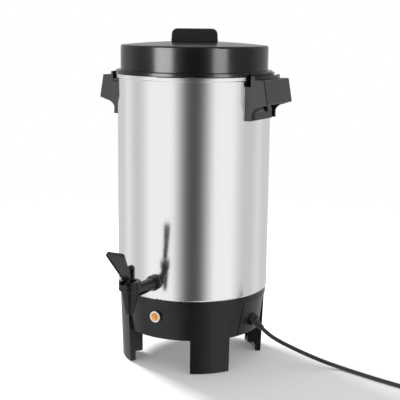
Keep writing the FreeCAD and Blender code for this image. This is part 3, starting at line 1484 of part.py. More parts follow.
def percolator():
    stop_top = "basket_bottom - seat_gap"
    tube_body = turned("pump_stem", [
        ("pump_bore", "pump_bottom"),
        ("pump_radius", "pump_bottom"),
        ("pump_radius", f"{stop_top} - stop_height"),
        ("stop_radius", f"{stop_top} - stop_height / 2"),
        ("stop_radius", stop_top),
        ("pump_radius", stop_top),
        ("pump_radius", "pump_top"),
        ("pump_bore", "pump_top"),
    ])
    keep(tube_body, "pump_tube")
    floor = "shell_bottom - well_depth + floor_thickness + seat_gap"
    seat = f"{floor} + valve_seat_height"
    bore = "pump_radius + fit_gap"
    top = f"{floor} + foot_height"
    foot = turned("foot_bell", [
        ("foot_port", seat),
        ("foot_port", f"{seat} - foot_wall"),
        ("foot_radius - foot_wall - foot_skirt", f"{seat} - foot_wall"),
        ("foot_radius - foot_wall", f"{floor} + foot_skirt"),
        ("foot_radius - foot_wall", floor),
        ("foot_radius", floor),
        ("foot_radius", f"{floor} + foot_skirt"),
        ("foot_shoulder", top),
        ("pump_radius + 2 * foot_wall", top),
        ("pump_radius + 2 * foot_wall", f"{top} + foot_sleeve_height"),
        (bore, f"{top} + foot_sleeve_height"),
        (bore, "pump_bottom"),
        ("valve_radius + 2 * face_gap", "pump_bottom - foot_wall"),
        ("valve_radius + 2 * face_gap", seat),
    ])
    ports = []
    for index in range(int(size.foot_slot_count)):
        port = bored(size.foot_slot_radius, size.foot_radius * 2, V(0, 0, worked_out(floor)), ALONG_X)
        port.rotate(ORIGIN, UP, index * 360 / size.foot_slot_count)
        ports.append(port)
    port_feature = solid_feature("foot_ports", Part.makeCompound(ports))
    keep(cut("foot", foot, [port_feature]), "pump_foot")
    valve = turned("valve", [
        ("0", f"{seat} + seat_gap"),
        ("valve_radius", f"{seat} + seat_gap"),
        ("valve_radius", f"{seat} + seat_gap + valve_thickness"),
        ("0", f"{seat} + seat_gap + valve_thickness"),
    ])
    keep(valve, "pump_valve_disc")

    wall = "basket_wall"
    cup = turned("basket_cup", [
        ("basket_sleeve", "basket_bottom"),
        ("basket_radius - basket_corner", "basket_bottom"),
        ("basket_radius", "basket_bottom + basket_corner", "basket_corner", 1),
        ("basket_radius", f"basket_top - {wall}"),
        ("basket_radius + basket_rim", f"basket_top - {wall}"),
        ("basket_radius + basket_rim", "basket_top"),
        (f"basket_radius - {wall}", "basket_top"),
        (f"basket_radius - {wall}", "basket_bottom + basket_corner"),
        ("basket_radius - basket_corner", f"basket_bottom + {wall}", f"basket_corner - {wall}", -1),
        (f"basket_sleeve + {wall}", f"basket_bottom + {wall}"),
        (f"basket_sleeve + {wall}", f"basket_top - spreader_depth - 2"),
        ("basket_sleeve", f"basket_top - spreader_depth - 2"),
    ])
    basket_holes = perforations("basket_holes", size.basket_bottom, size.basket_hole)
    keep(cut("basket", cup, [basket_holes]), "brew_basket")
    deck = "basket_top - spreader_depth"
    spreader = turned("spreader", [
        ("pump_radius + face_gap", deck),
        ("spreader_radius", deck),
        ("spreader_radius", "basket_top + seat_gap"),
        ("spreader_flange", "basket_top + seat_gap"),
        ("spreader_flange", "basket_top + seat_gap + spreader_thickness"),
        ("spreader_radius - spreader_thickness", "basket_top + seat_gap + spreader_thickness"),
        ("spreader_radius - spreader_thickness", f"{deck} + spreader_thickness"),
        ("pump_radius + face_gap", f"{deck} + spreader_thickness"),
    ])
    spreader_holes = perforations("spreader_holes", size.basket_top - size.spreader_depth, size.spreader_hole)
    keep(cut("spreader_cut", spreader, [spreader_holes]), "basket_cover")


def perforations(name, level, radius):
    """Rings of small round holes through a disc at a level."""
    holes = []
    for ring in range(1, int(size.basket_hole_rings) + 1):
        ring_radius = size.basket_ring_step * ring
        count = 6 * ring
        for index in range(count):
            place = on_bearing(index * 360 / count + 7 * ring, ring_radius, level - 2)
            holes.append(Part.makeCylinder(radius, 5, place))
    return solid_feature(name, Part.makeCompound(holes))


# Power cord

def outlet_point(distance):
    """Point on the cord outlet's tilted axis, at a distance from its start."""
    start, direction = outlet_axis()
    return start + direction * distance


def relief_end():
    return size.outlet_boss_end + size.seat_gap + size.relief_flange_thickness + size.relief_tail_length


def strain_relief():
    barrel = size.relief_hole_radius - size.relief_clearance
    boss = size.outlet_boss_end + size.seat_gap
    flange = boss + size.relief_flange_thickness
    end = relief_end()
    corners = [
        V(0, 0, -2), V(barrel, 0, -2), V(barrel, 0, boss), V(size.relief_flange_radius, 0, boss),
        V(size.relief_flange_radius, 0, flange - size.edge_break),
        V(size.relief_flange_radius - size.edge_break, 0, flange),
        V(size.relief_root_radius, 0, flange), V(size.relief_tip_radius, 0, end), V(0, 0, end),
    ]
    body = Part.Face(Part.makePolygon(corners + [corners[0]])).revolve(ORIGIN, UP, 360)
    grooves = []
    for index in range(int(size.relief_groove_count)):
        level = V(0, 0, flange + size.relief_groove_start + index * size.relief_groove_pitch)
        ring = Part.makeCylinder(size.relief_root_radius + 1, size.relief_groove_width, level)
        core = Part.makeCylinder(size.relief_tip_radius - size.relief_core_inset,
                                 size.relief_groove_width, level)
        grooves.append(ring.cut(core))
    body = body.cut(Part.makeCompound(grooves))
    start, direction = outlet_axis()
    body.Placement = FreeCAD.Placement(start, FreeCAD.Rotation(UP, direction))
    keep(solid_feature("relief", body), "cord_relief")


# Corners of the free cord's route after the strain relief, ending where the put-away coil begins
ROUTE = [
    V(144.0, -3.6, 40.0),
    V(160.5, 4.2, 31.0),
    V(178.6, 16.5, 20.0),
    V(199.5, 28.5, 9.4),
    V(224.5, 34.0, 2.9),
    V(259.0, 23.0, 2.9),
    V(292.0, 13.8, 2.9),
    V(322.0, 7.0, 2.9),
]
COIL_START = V(350.0, -0.8, 2.9)


def cord_points():
    """Every corner of the free cord, from the strain relief's tip to the coil."""
    tip = outlet_point(relief_end())
    straight = outlet_point(relief_end() + size.cord_lead)
    return [tip, straight] + ROUTE + [COIL_START]


def coil_pitch():
    """Distance between neighbouring turns, and between the two layers."""
    return 2 * size.cord_radius + size.coil_layer_gap


def coil_frame():
    """Centre of the coil and the angle of its first point, so that the free cord runs on smoothly."""
    heading = (COIL_START - ROUTE[-1]).normalize()
    radius = size.coil_outer_radius
    spiral = math.atan(coil_pitch() / (2 * math.pi * radius))
    first = math.atan2(heading.y, heading.x) - math.pi / 2 - spiral
    start = COIL_START + heading * (2 * size.cord_radius)
    return start - V(math.cos(first), math.sin(first), 0) * radius, first


def coil_curve(share):
    """Point on the put-away coil: in on the lower layer, up in a half turn, and out on the upper layer."""
    centre, first = coil_frame()
    pitch = coil_pitch()
    quarters = size.coil_turns_quarters
    passed = quarters * share
    middle = quarters / 2
    away = abs(passed - middle)
    ease = away if away > 1 else (away ** 2 + 1) / 2
    radius = size.coil_outer_radius - pitch / 4 * (middle - ease)
    lift = min(max((passed - middle + 1) / 2, 0), 1)
    height = COIL_START.z + pitch * (lift - math.sin(2 * math.pi * lift) / (2 * math.pi))
    angle = first + passed * math.pi / 2
    return V(centre.x + radius * math.cos(angle), centre.y + radius * math.sin(angle), height)


def cord():
    points = cord_points()
    edges, radii, length = rounded_route(points)
    lead_in = (points[1] - points[0]).normalize()
    body = tube(edges, size.cord_radius, points[0], lead_in)
    expected = math.pi * size.cord_radius ** 2 * length
    print("free cord length", round(length, 1), "radii", [round(radius, 1) for radius in radii])
    print("free cord volume over section times length", round(body.Volume / expected, 4))
    keep(solid_feature("free_cord", body), "power_cord")

    steps = int(size.coil_turns_quarters * 2)
    wound, headings, coil_edges = curve_path(coil_curve, steps)
    diameter = 2 * size.cord_radius
    heading = (COIL_START - ROUTE[-1]).normalize()
    level = V(headings[-1].x, headings[-1].y, 0).normalize()
    end = wound[-1] + level * diameter
    path = [Part.makeLine(COIL_START, wound[0])] + coil_edges + [Part.makeLine(wound[-1], end)]
    coil = tube(path, size.cord_radius, COIL_START, heading)
    coil_length = sum(edge.Length for edge in path)
    expected = math.pi * size.cord_radius ** 2 * coil_length
    print("coil volume over section times length", round(coil.Volume / expected, 4))
    print("coil length", round(coil_length, 1), "whole cord", round(length + coil_length, 1))
    gap = least_gap_to_itself(coil_curve, 360, size.cord_radius, 60)
    print("coil's least gap to itself", round(gap, 2))
    keep(solid_feature("put_away_coil", coil), "cord_coil")
    plug(end, level)


def plug(start, heading):
    """Moulded plug beside the coil, its axis level with the cord's end and its underside on the floor."""
    half_high = start.z
    half_wide = size.plug_width / 2
    sleeve = size.plug_sleeve_length
    shoulder = sleeve + size.plug_shoulder_length
    length = shoulder + size.plug_block_length
    thin = size.cord_radius + size.plug_sleeve_wall
    thick = thin + size.plug_sleeve_taper

    def ring(distance, wide, high):
        points = [V(distance, -wide, -high), V(distance, wide, -high), V(distance, wide, high),
                  V(distance, -wide, high)]
        return Part.makePolygon(points + [points[0]])

    grip = Part.makeCone(thin, thick, sleeve, ORIGIN, ALONG_X)
    flare = Part.makeLoft([ring(sleeve, thick, thick), ring(shoulder, half_wide, half_high)], True, True)
    block = Part.makeBox(length - shoulder, 2 * half_wide, 2 * half_high, V(shoulder, -half_wide, -half_high))
    body = grip.fuse([flare, block]).removeSplitter()
    long_edges = [edge for edge in body.Edges
                  if edge.BoundBox.XMin > shoulder - 0.1 and edge.BoundBox.XLength > length - shoulder - 0.1]
    body = body.makeFillet(size.plug_edge, long_edges)
    root = length - size.blade_root
    blades = []
    for side in (-1, 1):
        corner = V(root, side * size.blade_spacing / 2 - size.blade_thickness / 2,
                   size.blade_offset - size.blade_height / 2)
        blades.append(Part.makeBox(size.blade_length + size.blade_root, size.blade_thickness,
                                   size.blade_height, corner))
    blades.append(bored(size.earth_pin_radius, size.earth_pin_length + size.blade_root,
                        V(root, 0, -size.earth_pin_offset), ALONG_X))
    metal = Part.makeCompound(blades)
    body = body.cut(metal)
    body.Placement = FreeCAD.Placement(start, FreeCAD.Rotation(ALONG_X, heading))
    metal.Placement = body.Placement
    keep(solid_feature("plug_moulding", body), "plug_body")
    keep(solid_feature("plug_metal", metal), "plug_blades")


def check_and_write():
    """Stop on any failed object, then write each sub-part to its own file."""
    doc.recompute()
    failed = [thing.Label for thing in doc.Objects if {"Invalid", "Error"} & set(thing.State)]
    for thing in subparts:
        shape = thing.Shape
        if shape.isNull() or not shape.isValid() or not shape.Solids:
            failed.append(thing.Label)
    if failed:
        raise RuntimeError(f"failed objects: {failed}")
    for thing in subparts:
        thing.Shape.exportStep(f"parts/{thing.Label}.step")
    print(len(subparts), "sub-parts written")


tank_vessel()
base_housing()
foot_pads()
bottom_cover()
clamp_parts()
ring_heater("main_heater", size.heater_ring_radius, size.heater_tube_radius, 110)
ring_heater("keep_warm_heater", size.warmer_ring_radius, size.warmer_tube_radius, 200)
controls()
lamp()
handles()
lid()
knob()
tap()
percolator()
strain_relief()
cord()
check_and_write()
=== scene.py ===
"""Coffee urn: finishes, cord, studio and camera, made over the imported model's frame."""

import math

import bmesh
import bpy
from bpy.props import FloatProperty, FloatVectorProperty, PointerProperty
from mathutils import Matrix, Vector


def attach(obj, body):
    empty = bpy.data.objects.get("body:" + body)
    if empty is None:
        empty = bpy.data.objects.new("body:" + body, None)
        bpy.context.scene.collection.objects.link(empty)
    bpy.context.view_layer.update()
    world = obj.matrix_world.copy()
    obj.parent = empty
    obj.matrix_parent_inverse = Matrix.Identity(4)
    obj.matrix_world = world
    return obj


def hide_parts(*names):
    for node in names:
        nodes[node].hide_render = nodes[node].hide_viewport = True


bl_info = {
    "name": "Coffee urn",
    "version": (1, 0, 0),
    "blender": (4, 5, 0),
    "location": "View3D > Sidebar > Coffee urn",
    "description": "Dresses a percolator coffee urn with its finishes, cord and studio",
    "category": "Object",
}

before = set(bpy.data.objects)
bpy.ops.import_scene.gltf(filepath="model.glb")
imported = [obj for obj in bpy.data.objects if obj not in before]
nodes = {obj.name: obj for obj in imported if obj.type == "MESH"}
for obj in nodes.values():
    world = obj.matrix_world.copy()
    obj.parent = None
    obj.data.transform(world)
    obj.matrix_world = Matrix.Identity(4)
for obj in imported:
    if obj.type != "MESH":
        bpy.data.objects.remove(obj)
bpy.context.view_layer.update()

# The cord's route in metres: the strain relief's tip, the free cord's corners, then the put-away coil
CORD_RADIUS = 0.0029
OUTLET_BEARING = math.radians(87)
OUTLET_TILT = math.radians(35)
OUTLET_START = 0.0955
OUTLET_HEIGHT = 0.072
RELIEF_LENGTH = 0.02875
CORD_LEAD = 0.013
ROUTE = [
    (0.1440, -0.0036, 0.0400),
    (0.1605, 0.0042, 0.0310),
    (0.1786, 0.0165, 0.0200),
    (0.1995, 0.0285, 0.0094),
    (0.2245, 0.0340, 0.0029),
    (0.2590, 0.0230, 0.0029),
    (0.2920, 0.0138, 0.0029),
    (0.3220, 0.0070, 0.0029),
]
COIL_START = (0.3500, -0.0008, 0.0029)
COIL_RADIUS = 0.0356
COIL_PITCH = 0.0066
COIL_QUARTERS = 9
COIL_POINTS_PER_QUARTER = 4

# The photograph's camera, in the part's frame
CAMERA_BEARING = math.radians(28.7)
CAMERA_DISTANCE = 1.3698
CAMERA_HEIGHT = 0.487
CAMERA_PITCH = 0.184404698
CAMERA_YAW = 0.00724383984
CAMERA_ROLL = 0.0102629660
FOCAL_PIXELS = 945.33
FRAME_PIXELS = 400
SENSOR_WIDTH = 36.0

# The floor's own glow, and the distances from the urn in metres over which it turns plain white
FLOOR_GLOW = 0.1
FLOOR_FADE_START = 0.55
FLOOR_FADE_END = 1.3


# Settings that a user would change

class UrnFinishSettings(bpy.types.PropertyGroup):
    """Colours and roughness of the urn's finishes"""

    shell_color: FloatVectorProperty(
        name="Shell colour", description="Colour of the polished aluminium", subtype="COLOR",
        size=3, min=0.0, max=1.0, default=(0.86, 0.86, 0.855))
    shell_roughness: FloatProperty(
        name="Shell roughness", description="How blurred the shell's reflections are", subtype="FACTOR",
        min=0.0, max=1.0, default=0.16)
    plastic_color: FloatVectorProperty(
        name="Plastic colour", description="Colour of the black mouldings", subtype="COLOR",
        size=3, min=0.0, max=1.0, default=(0.007, 0.007, 0.0074))
    plastic_roughness: FloatProperty(
        name="Plastic roughness", description="How dull the black mouldings are", subtype="FACTOR",
        min=0.0, max=1.0, default=0.3)
    lens_color: FloatVectorProperty(
        name="Lamp colour", description="Colour of the indicator lamp's lens", subtype="COLOR",
        size=3, min=0.0, max=1.0, default=(0.85, 0.27, 0.02))


class UrnStageSettings(bpy.types.PropertyGroup):
    """Light and floor of the studio"""

    key_power: FloatProperty(
        name="Key light", description="Power of the soft light behind the urn", unit="POWER",
        min=0.0, default=60.0)
    strip_power: FloatProperty(
        name="Strip lights", description="Power of the strips that draw highlights on the black parts",
        unit="POWER", min=0.0, default=27.0)
    floor_size: FloatProperty(
        name="Floor size", description="Width of the pale floor", unit="LENGTH", min=1.0, default=6.0)
    floor_tone: FloatProperty(
        name="Floor tone", description="Colour of the floor, and so how dark its shadows can be",
        subtype="FACTOR", min=0.0, max=1.0, default=0.78)


# Node trees

def new_material(name):
    """A material with only its output and principled shader."""
    material = bpy.data.materials.new(name)
    material.use_nodes = True
    tree = material.node_tree
    shader = next(node for node in tree.nodes if node.type == "BSDF_PRINCIPLED")
    return material, tree, shader


def object_noise(tree, scale, detail, stretch=(1.0, 1.0, 1.0), distortion=0.0):
    """Noise in the part's own coordinates, stretched along an axis."""
    coordinates = tree.nodes.new("ShaderNodeTexCoord")
    mapping = tree.nodes.new("ShaderNodeMapping")
    mapping.inputs["Scale"].default_value = stretch
    noise = tree.nodes.new("ShaderNodeTexNoise")
    noise.inputs["Scale"].default_value = scale
    noise.inputs["Detail"].default_value = detail
    noise.inputs["Distortion"].default_value = distortion
    tree.links.new(coordinates.outputs["Object"], mapping.inputs["Vector"])
    tree.links.new(mapping.outputs["Vector"], noise.inputs["Vector"])
    return noise.outputs["Fac"]


def spread(tree, value, low, high):
    """A noise value carried on to a range."""
    remap = tree.nodes.new("ShaderNodeMapRange")
    remap.inputs["From Min"].default_value = 0.3
    remap.inputs["From Max"].default_value = 0.7
    remap.inputs["To Min"].default_value = low
    remap.inputs["To Max"].default_value = high
    tree.links.new(value, remap.inputs["Value"])
    return remap.outputs["Result"]


def tinted(tree, shader, value, dark, light):
    """Base colour that wanders between two close colours."""
    ramp = tree.nodes.new("ShaderNodeValToRGB")
    ramp.color_ramp.elements[0].position = 0.3
    ramp.color_ramp.elements[0].color = (*dark, 1)
    ramp.color_ramp.elements[1].position = 0.7
    ramp.color_ramp.elements[1].color = (*light, 1)
    tree.links.new(value, ramp.inputs["Fac"])
    tree.links.new(ramp.outputs["Color"], shader.inputs["Base Color"])


def bumped(tree, shader, value, strength, distance):
    """Small relief from a noise value."""
    bump = tree.nodes.new("ShaderNodeBump")
    bump.inputs["Strength"].default_value = strength
    bump.inputs["Distance"].default_value = distance
    tree.links.new(value, bump.inputs["Height"])
    tree.links.new(bump.outputs["Normal"], shader.inputs["Normal"])


def scaled(color, factor):
    return tuple(min(channel * factor, 1.0) for channel in color)


# Finishes

def polished_aluminium(name, color, roughness, streak):
    """Spun sheet: fine streaks that run round the axis, and a faint cloudiness."""
    material, tree, shader = new_material(name)
    shader.inputs["Metallic"].default_value = 1.0
    cloud = object_noise(tree, 9.0, 3.0, (1.0, 1.0, 0.35))
    tinted(tree, shader, cloud, scaled(color, 0.975), color)
    streaks = object_noise(tree, 60.0, 4.0, (0.6, 0.6, 26.0))
    tree.links.new(spread(tree, streaks, roughness * 0.88, roughness * 1.14), shader.inputs["Roughness"])
    bumped(tree, shader, streaks, streak, 0.00004)
    return material


def moulded_plastic(name, color, roughness, grain, grain_depth, gloss=0.35):
    """Black moulding with the tool's fine grain."""
    material, tree, shader = new_material(name)
    shader.inputs["Specular IOR Level"].default_value = gloss
    cloud = object_noise(tree, 40.0, 4.0)
    tinted(tree, shader, cloud, scaled(color, 0.8), scaled(color, 1.2))
    tree.links.new(spread(tree, cloud, roughness * 0.9, roughness * 1.1), shader.inputs["Roughness"])
    fine = object_noise(tree, grain, 3.0)
    bumped(tree, shader, fine, grain_depth, 0.0002)
    return material


def pebbled_plastic(name, color, roughness):
    """Knob moulding: rounded pebbles under a millimetre across, dull all over."""
    material, tree, shader = new_material(name)
    coordinates = tree.nodes.new("ShaderNodeTexCoord")
    pebbles = tree.nodes.new("ShaderNodeTexVoronoi")
    pebbles.feature = "SMOOTH_F1"
    pebbles.inputs["Scale"].default_value = 1150.0
    tree.links.new(coordinates.outputs["Object"], pebbles.inputs["Vector"])
    cloud = object_noise(tree, 420.0, 4.0)
    tinted(tree, shader, cloud, scaled(color, 0.55), scaled(color, 1.6))
    tree.links.new(spread(tree, cloud, roughness * 0.9, roughness * 1.1), shader.inputs["Roughness"])
    bumped(tree, shader, pebbles.outputs["Distance"], 0.75, 0.0007)
    return material


def lid_enamel(name, color):
    """Black enamel on a spun lid: a wall that mirrors softly, and faint turning rings on the top."""
    material, tree, shader = new_material(name)
    shader.inputs["IOR"].default_value = 1.36
    cloud = object_noise(tree, 24.0, 4.0)
    tinted(tree, shader, cloud, scaled(color, 0.7), scaled(color, 1.2))
    tree.links.new(spread(tree, cloud, 0.19, 0.23), shader.inputs["Roughness"])
    coordinates = tree.nodes.new("ShaderNodeTexCoord")
    rings = tree.nodes.new("ShaderNodeTexWave")
    rings.wave_type = "RINGS"
    rings.rings_direction = "Z"
    rings.inputs["Scale"].default_value = 95.0
    rings.inputs["Distortion"].default_value = 1.2
    tree.links.new(coordinates.outputs["Object"], rings.inputs["Vector"])
    bumped(tree, shader, rings.outputs["Fac"], 0.05, 0.0001)
    return material


def plain_metal(name, color, roughness, scale):
    """Pressed or turned metal with fine scratches."""
    material, tree, shader = new_material(name)
    shader.inputs["Metallic"].default_value = 1.0
    scratches = object_noise(tree, scale, 5.0, (1.0, 1.0, 5.0), 0.4)
    tinted(tree, shader, scratches, scaled(color, 0.86), color)
    tree.links.new(spread(tree, scratches, roughness * 0.75, roughness * 1.3), shader.inputs["Roughness"])
    bumped(tree, shader, scratches, 0.12, 0.0001)
    return material


def heater_metal(name, color):
    """Heat-stained heater sheath."""
    material, tree, shader = new_material(name)
    shader.inputs["Metallic"].default_value = 1.0
    stain = object_noise(tree, 70.0, 5.0, distortion=0.8)
    tinted(tree, shader, stain, scaled(color, 0.5), (0.42, 0.36, 0.30))
    tree.links.new(spread(tree, stain, 0.35, 0.6), shader.inputs["Roughness"])
    bumped(tree, shader, stain, 0.2, 0.0002)
    return material


def soft_rubber(name, color, roughness, bloom):
    """Rubber, silicone or vinyl: dull, faintly mottled, with a soft sheen."""
    material, tree, shader = new_material(name)
    mottle = object_noise(tree, 180.0, 4.0)
    tinted(tree, shader, mottle, scaled(color, 0.8), scaled(color, 1.15))
    tree.links.new(spread(tree, mottle, roughness * 0.9, roughness * 1.1), shader.inputs["Roughness"])
    shader.inputs["Sheen Weight"].default_value = bloom
    shader.inputs["Sheen Roughness"].default_value = 0.5
    bumped(tree, shader, mottle, 0.15, 0.0002)
    return material


def amber_lens(name, color):
    """Clear amber moulding over a faceted inside."""
    material, tree, shader = new_material(name)
    coordinates = tree.nodes.new("ShaderNodeTexCoord")
    facets = tree.nodes.new("ShaderNodeTexVoronoi")
    facets.feature = "SMOOTH_F1"
    facets.inputs["Scale"].default_value = 520.0
    tree.links.new(coordinates.outputs["Object"], facets.inputs["Vector"])
    pale = scaled((color[0], color[1] * 1.5, color[2] * 2.0), 1.0)
    tinted(tree, shader, facets.outputs["Distance"], color, pale)
    shader.inputs["Roughness"].default_value = 0.16
    shader.inputs["Coat Weight"].default_value = 1.0
    shader.inputs["Coat Roughness"].default_value = 0.05
    shader.inputs["Emission Color"].default_value = (*color, 1)
    shader.inputs["Emission Strength"].default_value = 0.12
    bumped(tree, shader, facets.outputs["Distance"], 0.25, 0.0004)
    return material


def wear_finish(node_names, material):
    """Give CAD nodes a finish."""
    for name in node_names:
        mesh = nodes[name].data
        mesh.materials.clear()
        mesh.materials.append(material)


# Cord

def coil_points():
    """Control points of the put-away coil, a loop of the route that part.py follows."""
    heading = (Vector(COIL_START) - Vector(ROUTE[-1])).normalized()
    spiral = math.atan(COIL_PITCH / (2 * math.pi * COIL_RADIUS))
    first = math.atan2(heading.y, heading.x) - math.pi / 2 - spiral
    start = Vector(COIL_START) + heading * (2 * CORD_RADIUS)
    centre = start - Vector((math.cos(first), math.sin(first), 0)) * COIL_RADIUS
    middle = COIL_QUARTERS / 2
    count = COIL_QUARTERS * COIL_POINTS_PER_QUARTER
    bulge = 1 / math.cos(math.pi / 4 / COIL_POINTS_PER_QUARTER)
    points = []
    for index in range(count + 1):
        passed = COIL_QUARTERS * index / count
        away = abs(passed - middle)
        ease = away if away > 1 else (away ** 2 + 1) / 2
        radius = (COIL_RADIUS - COIL_PITCH / 4 * (middle - ease)) * (bulge if 0 < index < count else 1)
        lift = min(max((passed - middle + 1) / 2, 0), 1)
        height = COIL_START[2] + COIL_PITCH * (lift - math.sin(2 * math.pi * lift) / (2 * math.pi))
        angle = first + passed * math.pi / 2
        across = Vector((math.cos(angle), math.sin(angle), 0)) * radius
        points.append(Vector((centre.x + across.x, centre.y + across.y, height)))
    return points


def cord_points():
    """All control points, from the strain relief's tip to the plug."""
    axis = Vector((math.sin(OUTLET_BEARING) * math.cos(OUTLET_TILT),
                   -math.cos(OUTLET_BEARING) * math.cos(OUTLET_TILT), -math.sin(OUTLET_TILT)))
    start = Vector((math.sin(OUTLET_BEARING) * OUTLET_START, -math.cos(OUTLET_BEARING) * OUTLET_START,
                    OUTLET_HEIGHT))
    tip = start + axis * RELIEF_LENGTH
    coil = coil_points()
    last = (coil[-1] - coil[-2])
    last.z = 0
    end = coil[-1] + last.normalized() * (2 * CORD_RADIUS)
    free = [tip, tip + axis * CORD_LEAD] + [Vector(point) for point in ROUTE]
    return free + [Vector(COIL_START)] + coil + [end]


def spline_length(points):
    """Length of the smooth line of order 3 that the control points give."""
    curve = bpy.data.curves.new("measure", "CURVE")
    curve.dimensions = "3D"
    add_spline(curve, points)
    holder = bpy.data.objects.new("measure", curve)
    bpy.context.scene.collection.objects.link(holder)
    bpy.context.view_layer.update()
    mesh = bpy.data.meshes.new_from_object(holder.evaluated_get(bpy.context.evaluated_depsgraph_get()))
    length = sum((mesh.vertices[edge.vertices[0]].co - mesh.vertices[edge.vertices[1]].co).length
                 for edge in mesh.edges)
    bpy.data.objects.remove(holder)
    bpy.data.curves.remove(curve)
    bpy.data.meshes.remove(mesh)
    return length


def add_spline(curve, points):
    spline = curve.splines.new("NURBS")
    spline.points.add(len(points) - 1)
    for control, point in zip(spline.points, points):
        control.co = (*point, 1)
    spline.order_u = 3
    spline.use_endpoint_u = True
    spline.resolution_u = 12


# Operators

class URN_OT_shell(bpy.types.Operator):
    """Finish the polished vessel and the aluminium percolator inside it"""

    bl_idname = "urn.shell"
    bl_label = "Vessel and percolator"

    def execute(self, context):
        finish = context.scene.urn_finish
        shell = polished_aluminium("polished_shell", tuple(finish.shell_color), finish.shell_roughness, 0.04)
        wear_finish(["tank_vessel"], shell)
        drawn = polished_aluminium("drawn_aluminium", (0.74, 0.74, 0.73), 0.3, 0.12)
        wear_finish(["pump_tube", "pump_foot", "pump_valve_disc", "brew_basket", "basket_cover"], drawn)
        return {"FINISHED"}


class URN_OT_lid(bpy.types.Operator):
    """Finish the enamelled lid, its seal and its pebbled knob"""

    bl_idname = "urn.lid"
    bl_label = "Lid"

    def execute(self, context):
        wear_finish(["lid_cover"], lid_enamel("lid_enamel", (0.002, 0.002, 0.0021)))
        wear_finish(["lid_knob"], pebbled_plastic("knob_pebble", (0.011, 0.011, 0.0115), 0.55))
        wear_finish(["lid_seal", "handle_washers", "tap_gasket_inner", "tap_seat_cup"],
                    soft_rubber("white_silicone", (0.66, 0.64, 0.60), 0.55, 0.3))
        wear_finish(["knob_screws"], plain_metal("zinc_screw", (0.62, 0.62, 0.60), 0.32, 300.0))
        return {"FINISHED"}


class URN_OT_handles(bpy.types.Operator):
    """Finish both side handles and their fasteners"""

    bl_idname = "urn.handles"
    bl_label = "Handles"

    def execute(self, context):
        finish = context.scene.urn_finish
        color = tuple(finish.plastic_color)
        black = moulded_plastic("handle_plastic", color, finish.plastic_roughness, 900.0, 0.06)
        wear_finish(["handle_right", "handle_left"], black)
        dark_steel = plain_metal("blackened_steel", (0.05, 0.05, 0.052), 0.4, 300.0)
        wear_finish(["handle_bolts", "handle_nuts"], dark_steel)
        return {"FINISHED"}


class URN_OT_base(bpy.types.Operator):
    """Finish the base, its feet, its cover and the parts under the vessel"""

    bl_idname = "urn.base"
    bl_label = "Base"

    def execute(self, context):
        finish = context.scene.urn_finish
        color = tuple(finish.plastic_color)
        black = moulded_plastic("base_plastic", color, finish.plastic_roughness, 700.0, 0.08)
        wear_finish(["base_housing"], black)
        rubber = soft_rubber("dark_rubber", (0.022, 0.022, 0.023), 0.6, 0.25)
        wear_finish(["foot_pads", "cord_relief", "tap_gasket_outer"], rubber)
        zinc = plain_metal("zinc_sheet", (0.60, 0.60, 0.58), 0.36, 130.0)
        wear_finish(["bottom_cover", "bottom_screws", "clamp_stud", "clamp_strap", "clamp_nut",
                     "thermal_fuse", "lamp_clip"], zinc)
        wear_finish(["main_heater", "keep_warm_heater"], heater_metal("heater_sheath", (0.36, 0.35, 0.34)))
        brown = moulded_plastic("phenolic", (0.06, 0.035, 0.022), 0.5, 500.0, 0.1)
        wear_finish(["thermostat", "terminal_block", "lamp_holder"], brown)
        return {"FINISHED"}


class URN_OT_lamp(bpy.types.Operator):
    """Finish the indicator lamp"""

    bl_idname = "urn.lamp"
    bl_label = "Indicator lamp"

    def execute(self, context):
        finish = context.scene.urn_finish
        wear_finish(["lamp_bezel"], plain_metal("bright_bezel", (0.86, 0.86, 0.86), 0.14, 500.0))
        wear_finish(["lamp_lens"], amber_lens("amber_lens", tuple(finish.lens_color)))
        return {"FINISHED"}


class URN_OT_tap(bpy.types.Operator):
    """Finish the tap, its lever and its valve"""

    bl_idname = "urn.tap"
    bl_label = "Tap"

    def execute(self, context):
        finish = context.scene.urn_finish
        color = tuple(finish.plastic_color)
        tap_black = moulded_plastic("tap_plastic", color, finish.plastic_roughness * 0.8, 1100.0, 0.05)
        wear_finish(["tap_body", "tap_collar", "tap_nut", "tap_bonnet"], tap_black)
        lever_black = moulded_plastic("lever_plastic", color, finish.plastic_roughness * 0.9, 1300.0, 0.06)
        wear_finish(["tap_lever"], lever_black)
        stainless = plain_metal("stainless", (0.68, 0.68, 0.68), 0.24, 420.0)
        wear_finish(["tap_pin", "tap_stem", "tap_spring", "tap_spring_cap"], stainless)
        return {"FINISHED"}


class URN_OT_cord(bpy.types.Operator):
    """Lay the power cord on the floor, coil its spare length and finish its plug"""

    bl_idname = "urn.cord"
    bl_label = "Power cord"

    def execute(self, context):
        jacket = soft_rubber("cord_jacket", (0.016, 0.016, 0.017), 0.42, 0.15)
        points = cord_points()
        length = spline_length(points)
        curve = bpy.data.curves.new("cord_line", "CURVE")
        curve.dimensions = "3D"
        curve.bevel_depth = CORD_RADIUS
        curve.bevel_resolution = 6
        curve.use_fill_caps = True
        add_spline(curve, points)
        cord = bpy.data.objects.new("cord_line", curve)
        context.scene.collection.objects.link(cord)
        curve.materials.append(jacket)
        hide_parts("power_cord", "cord_coil")
        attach(cord, "urn")
        wear_finish(["plug_body"], jacket)
        wear_finish(["plug_blades"], plain_metal("brass_blade", (0.80, 0.66, 0.36), 0.28, 260.0))
        return {"FINISHED"}


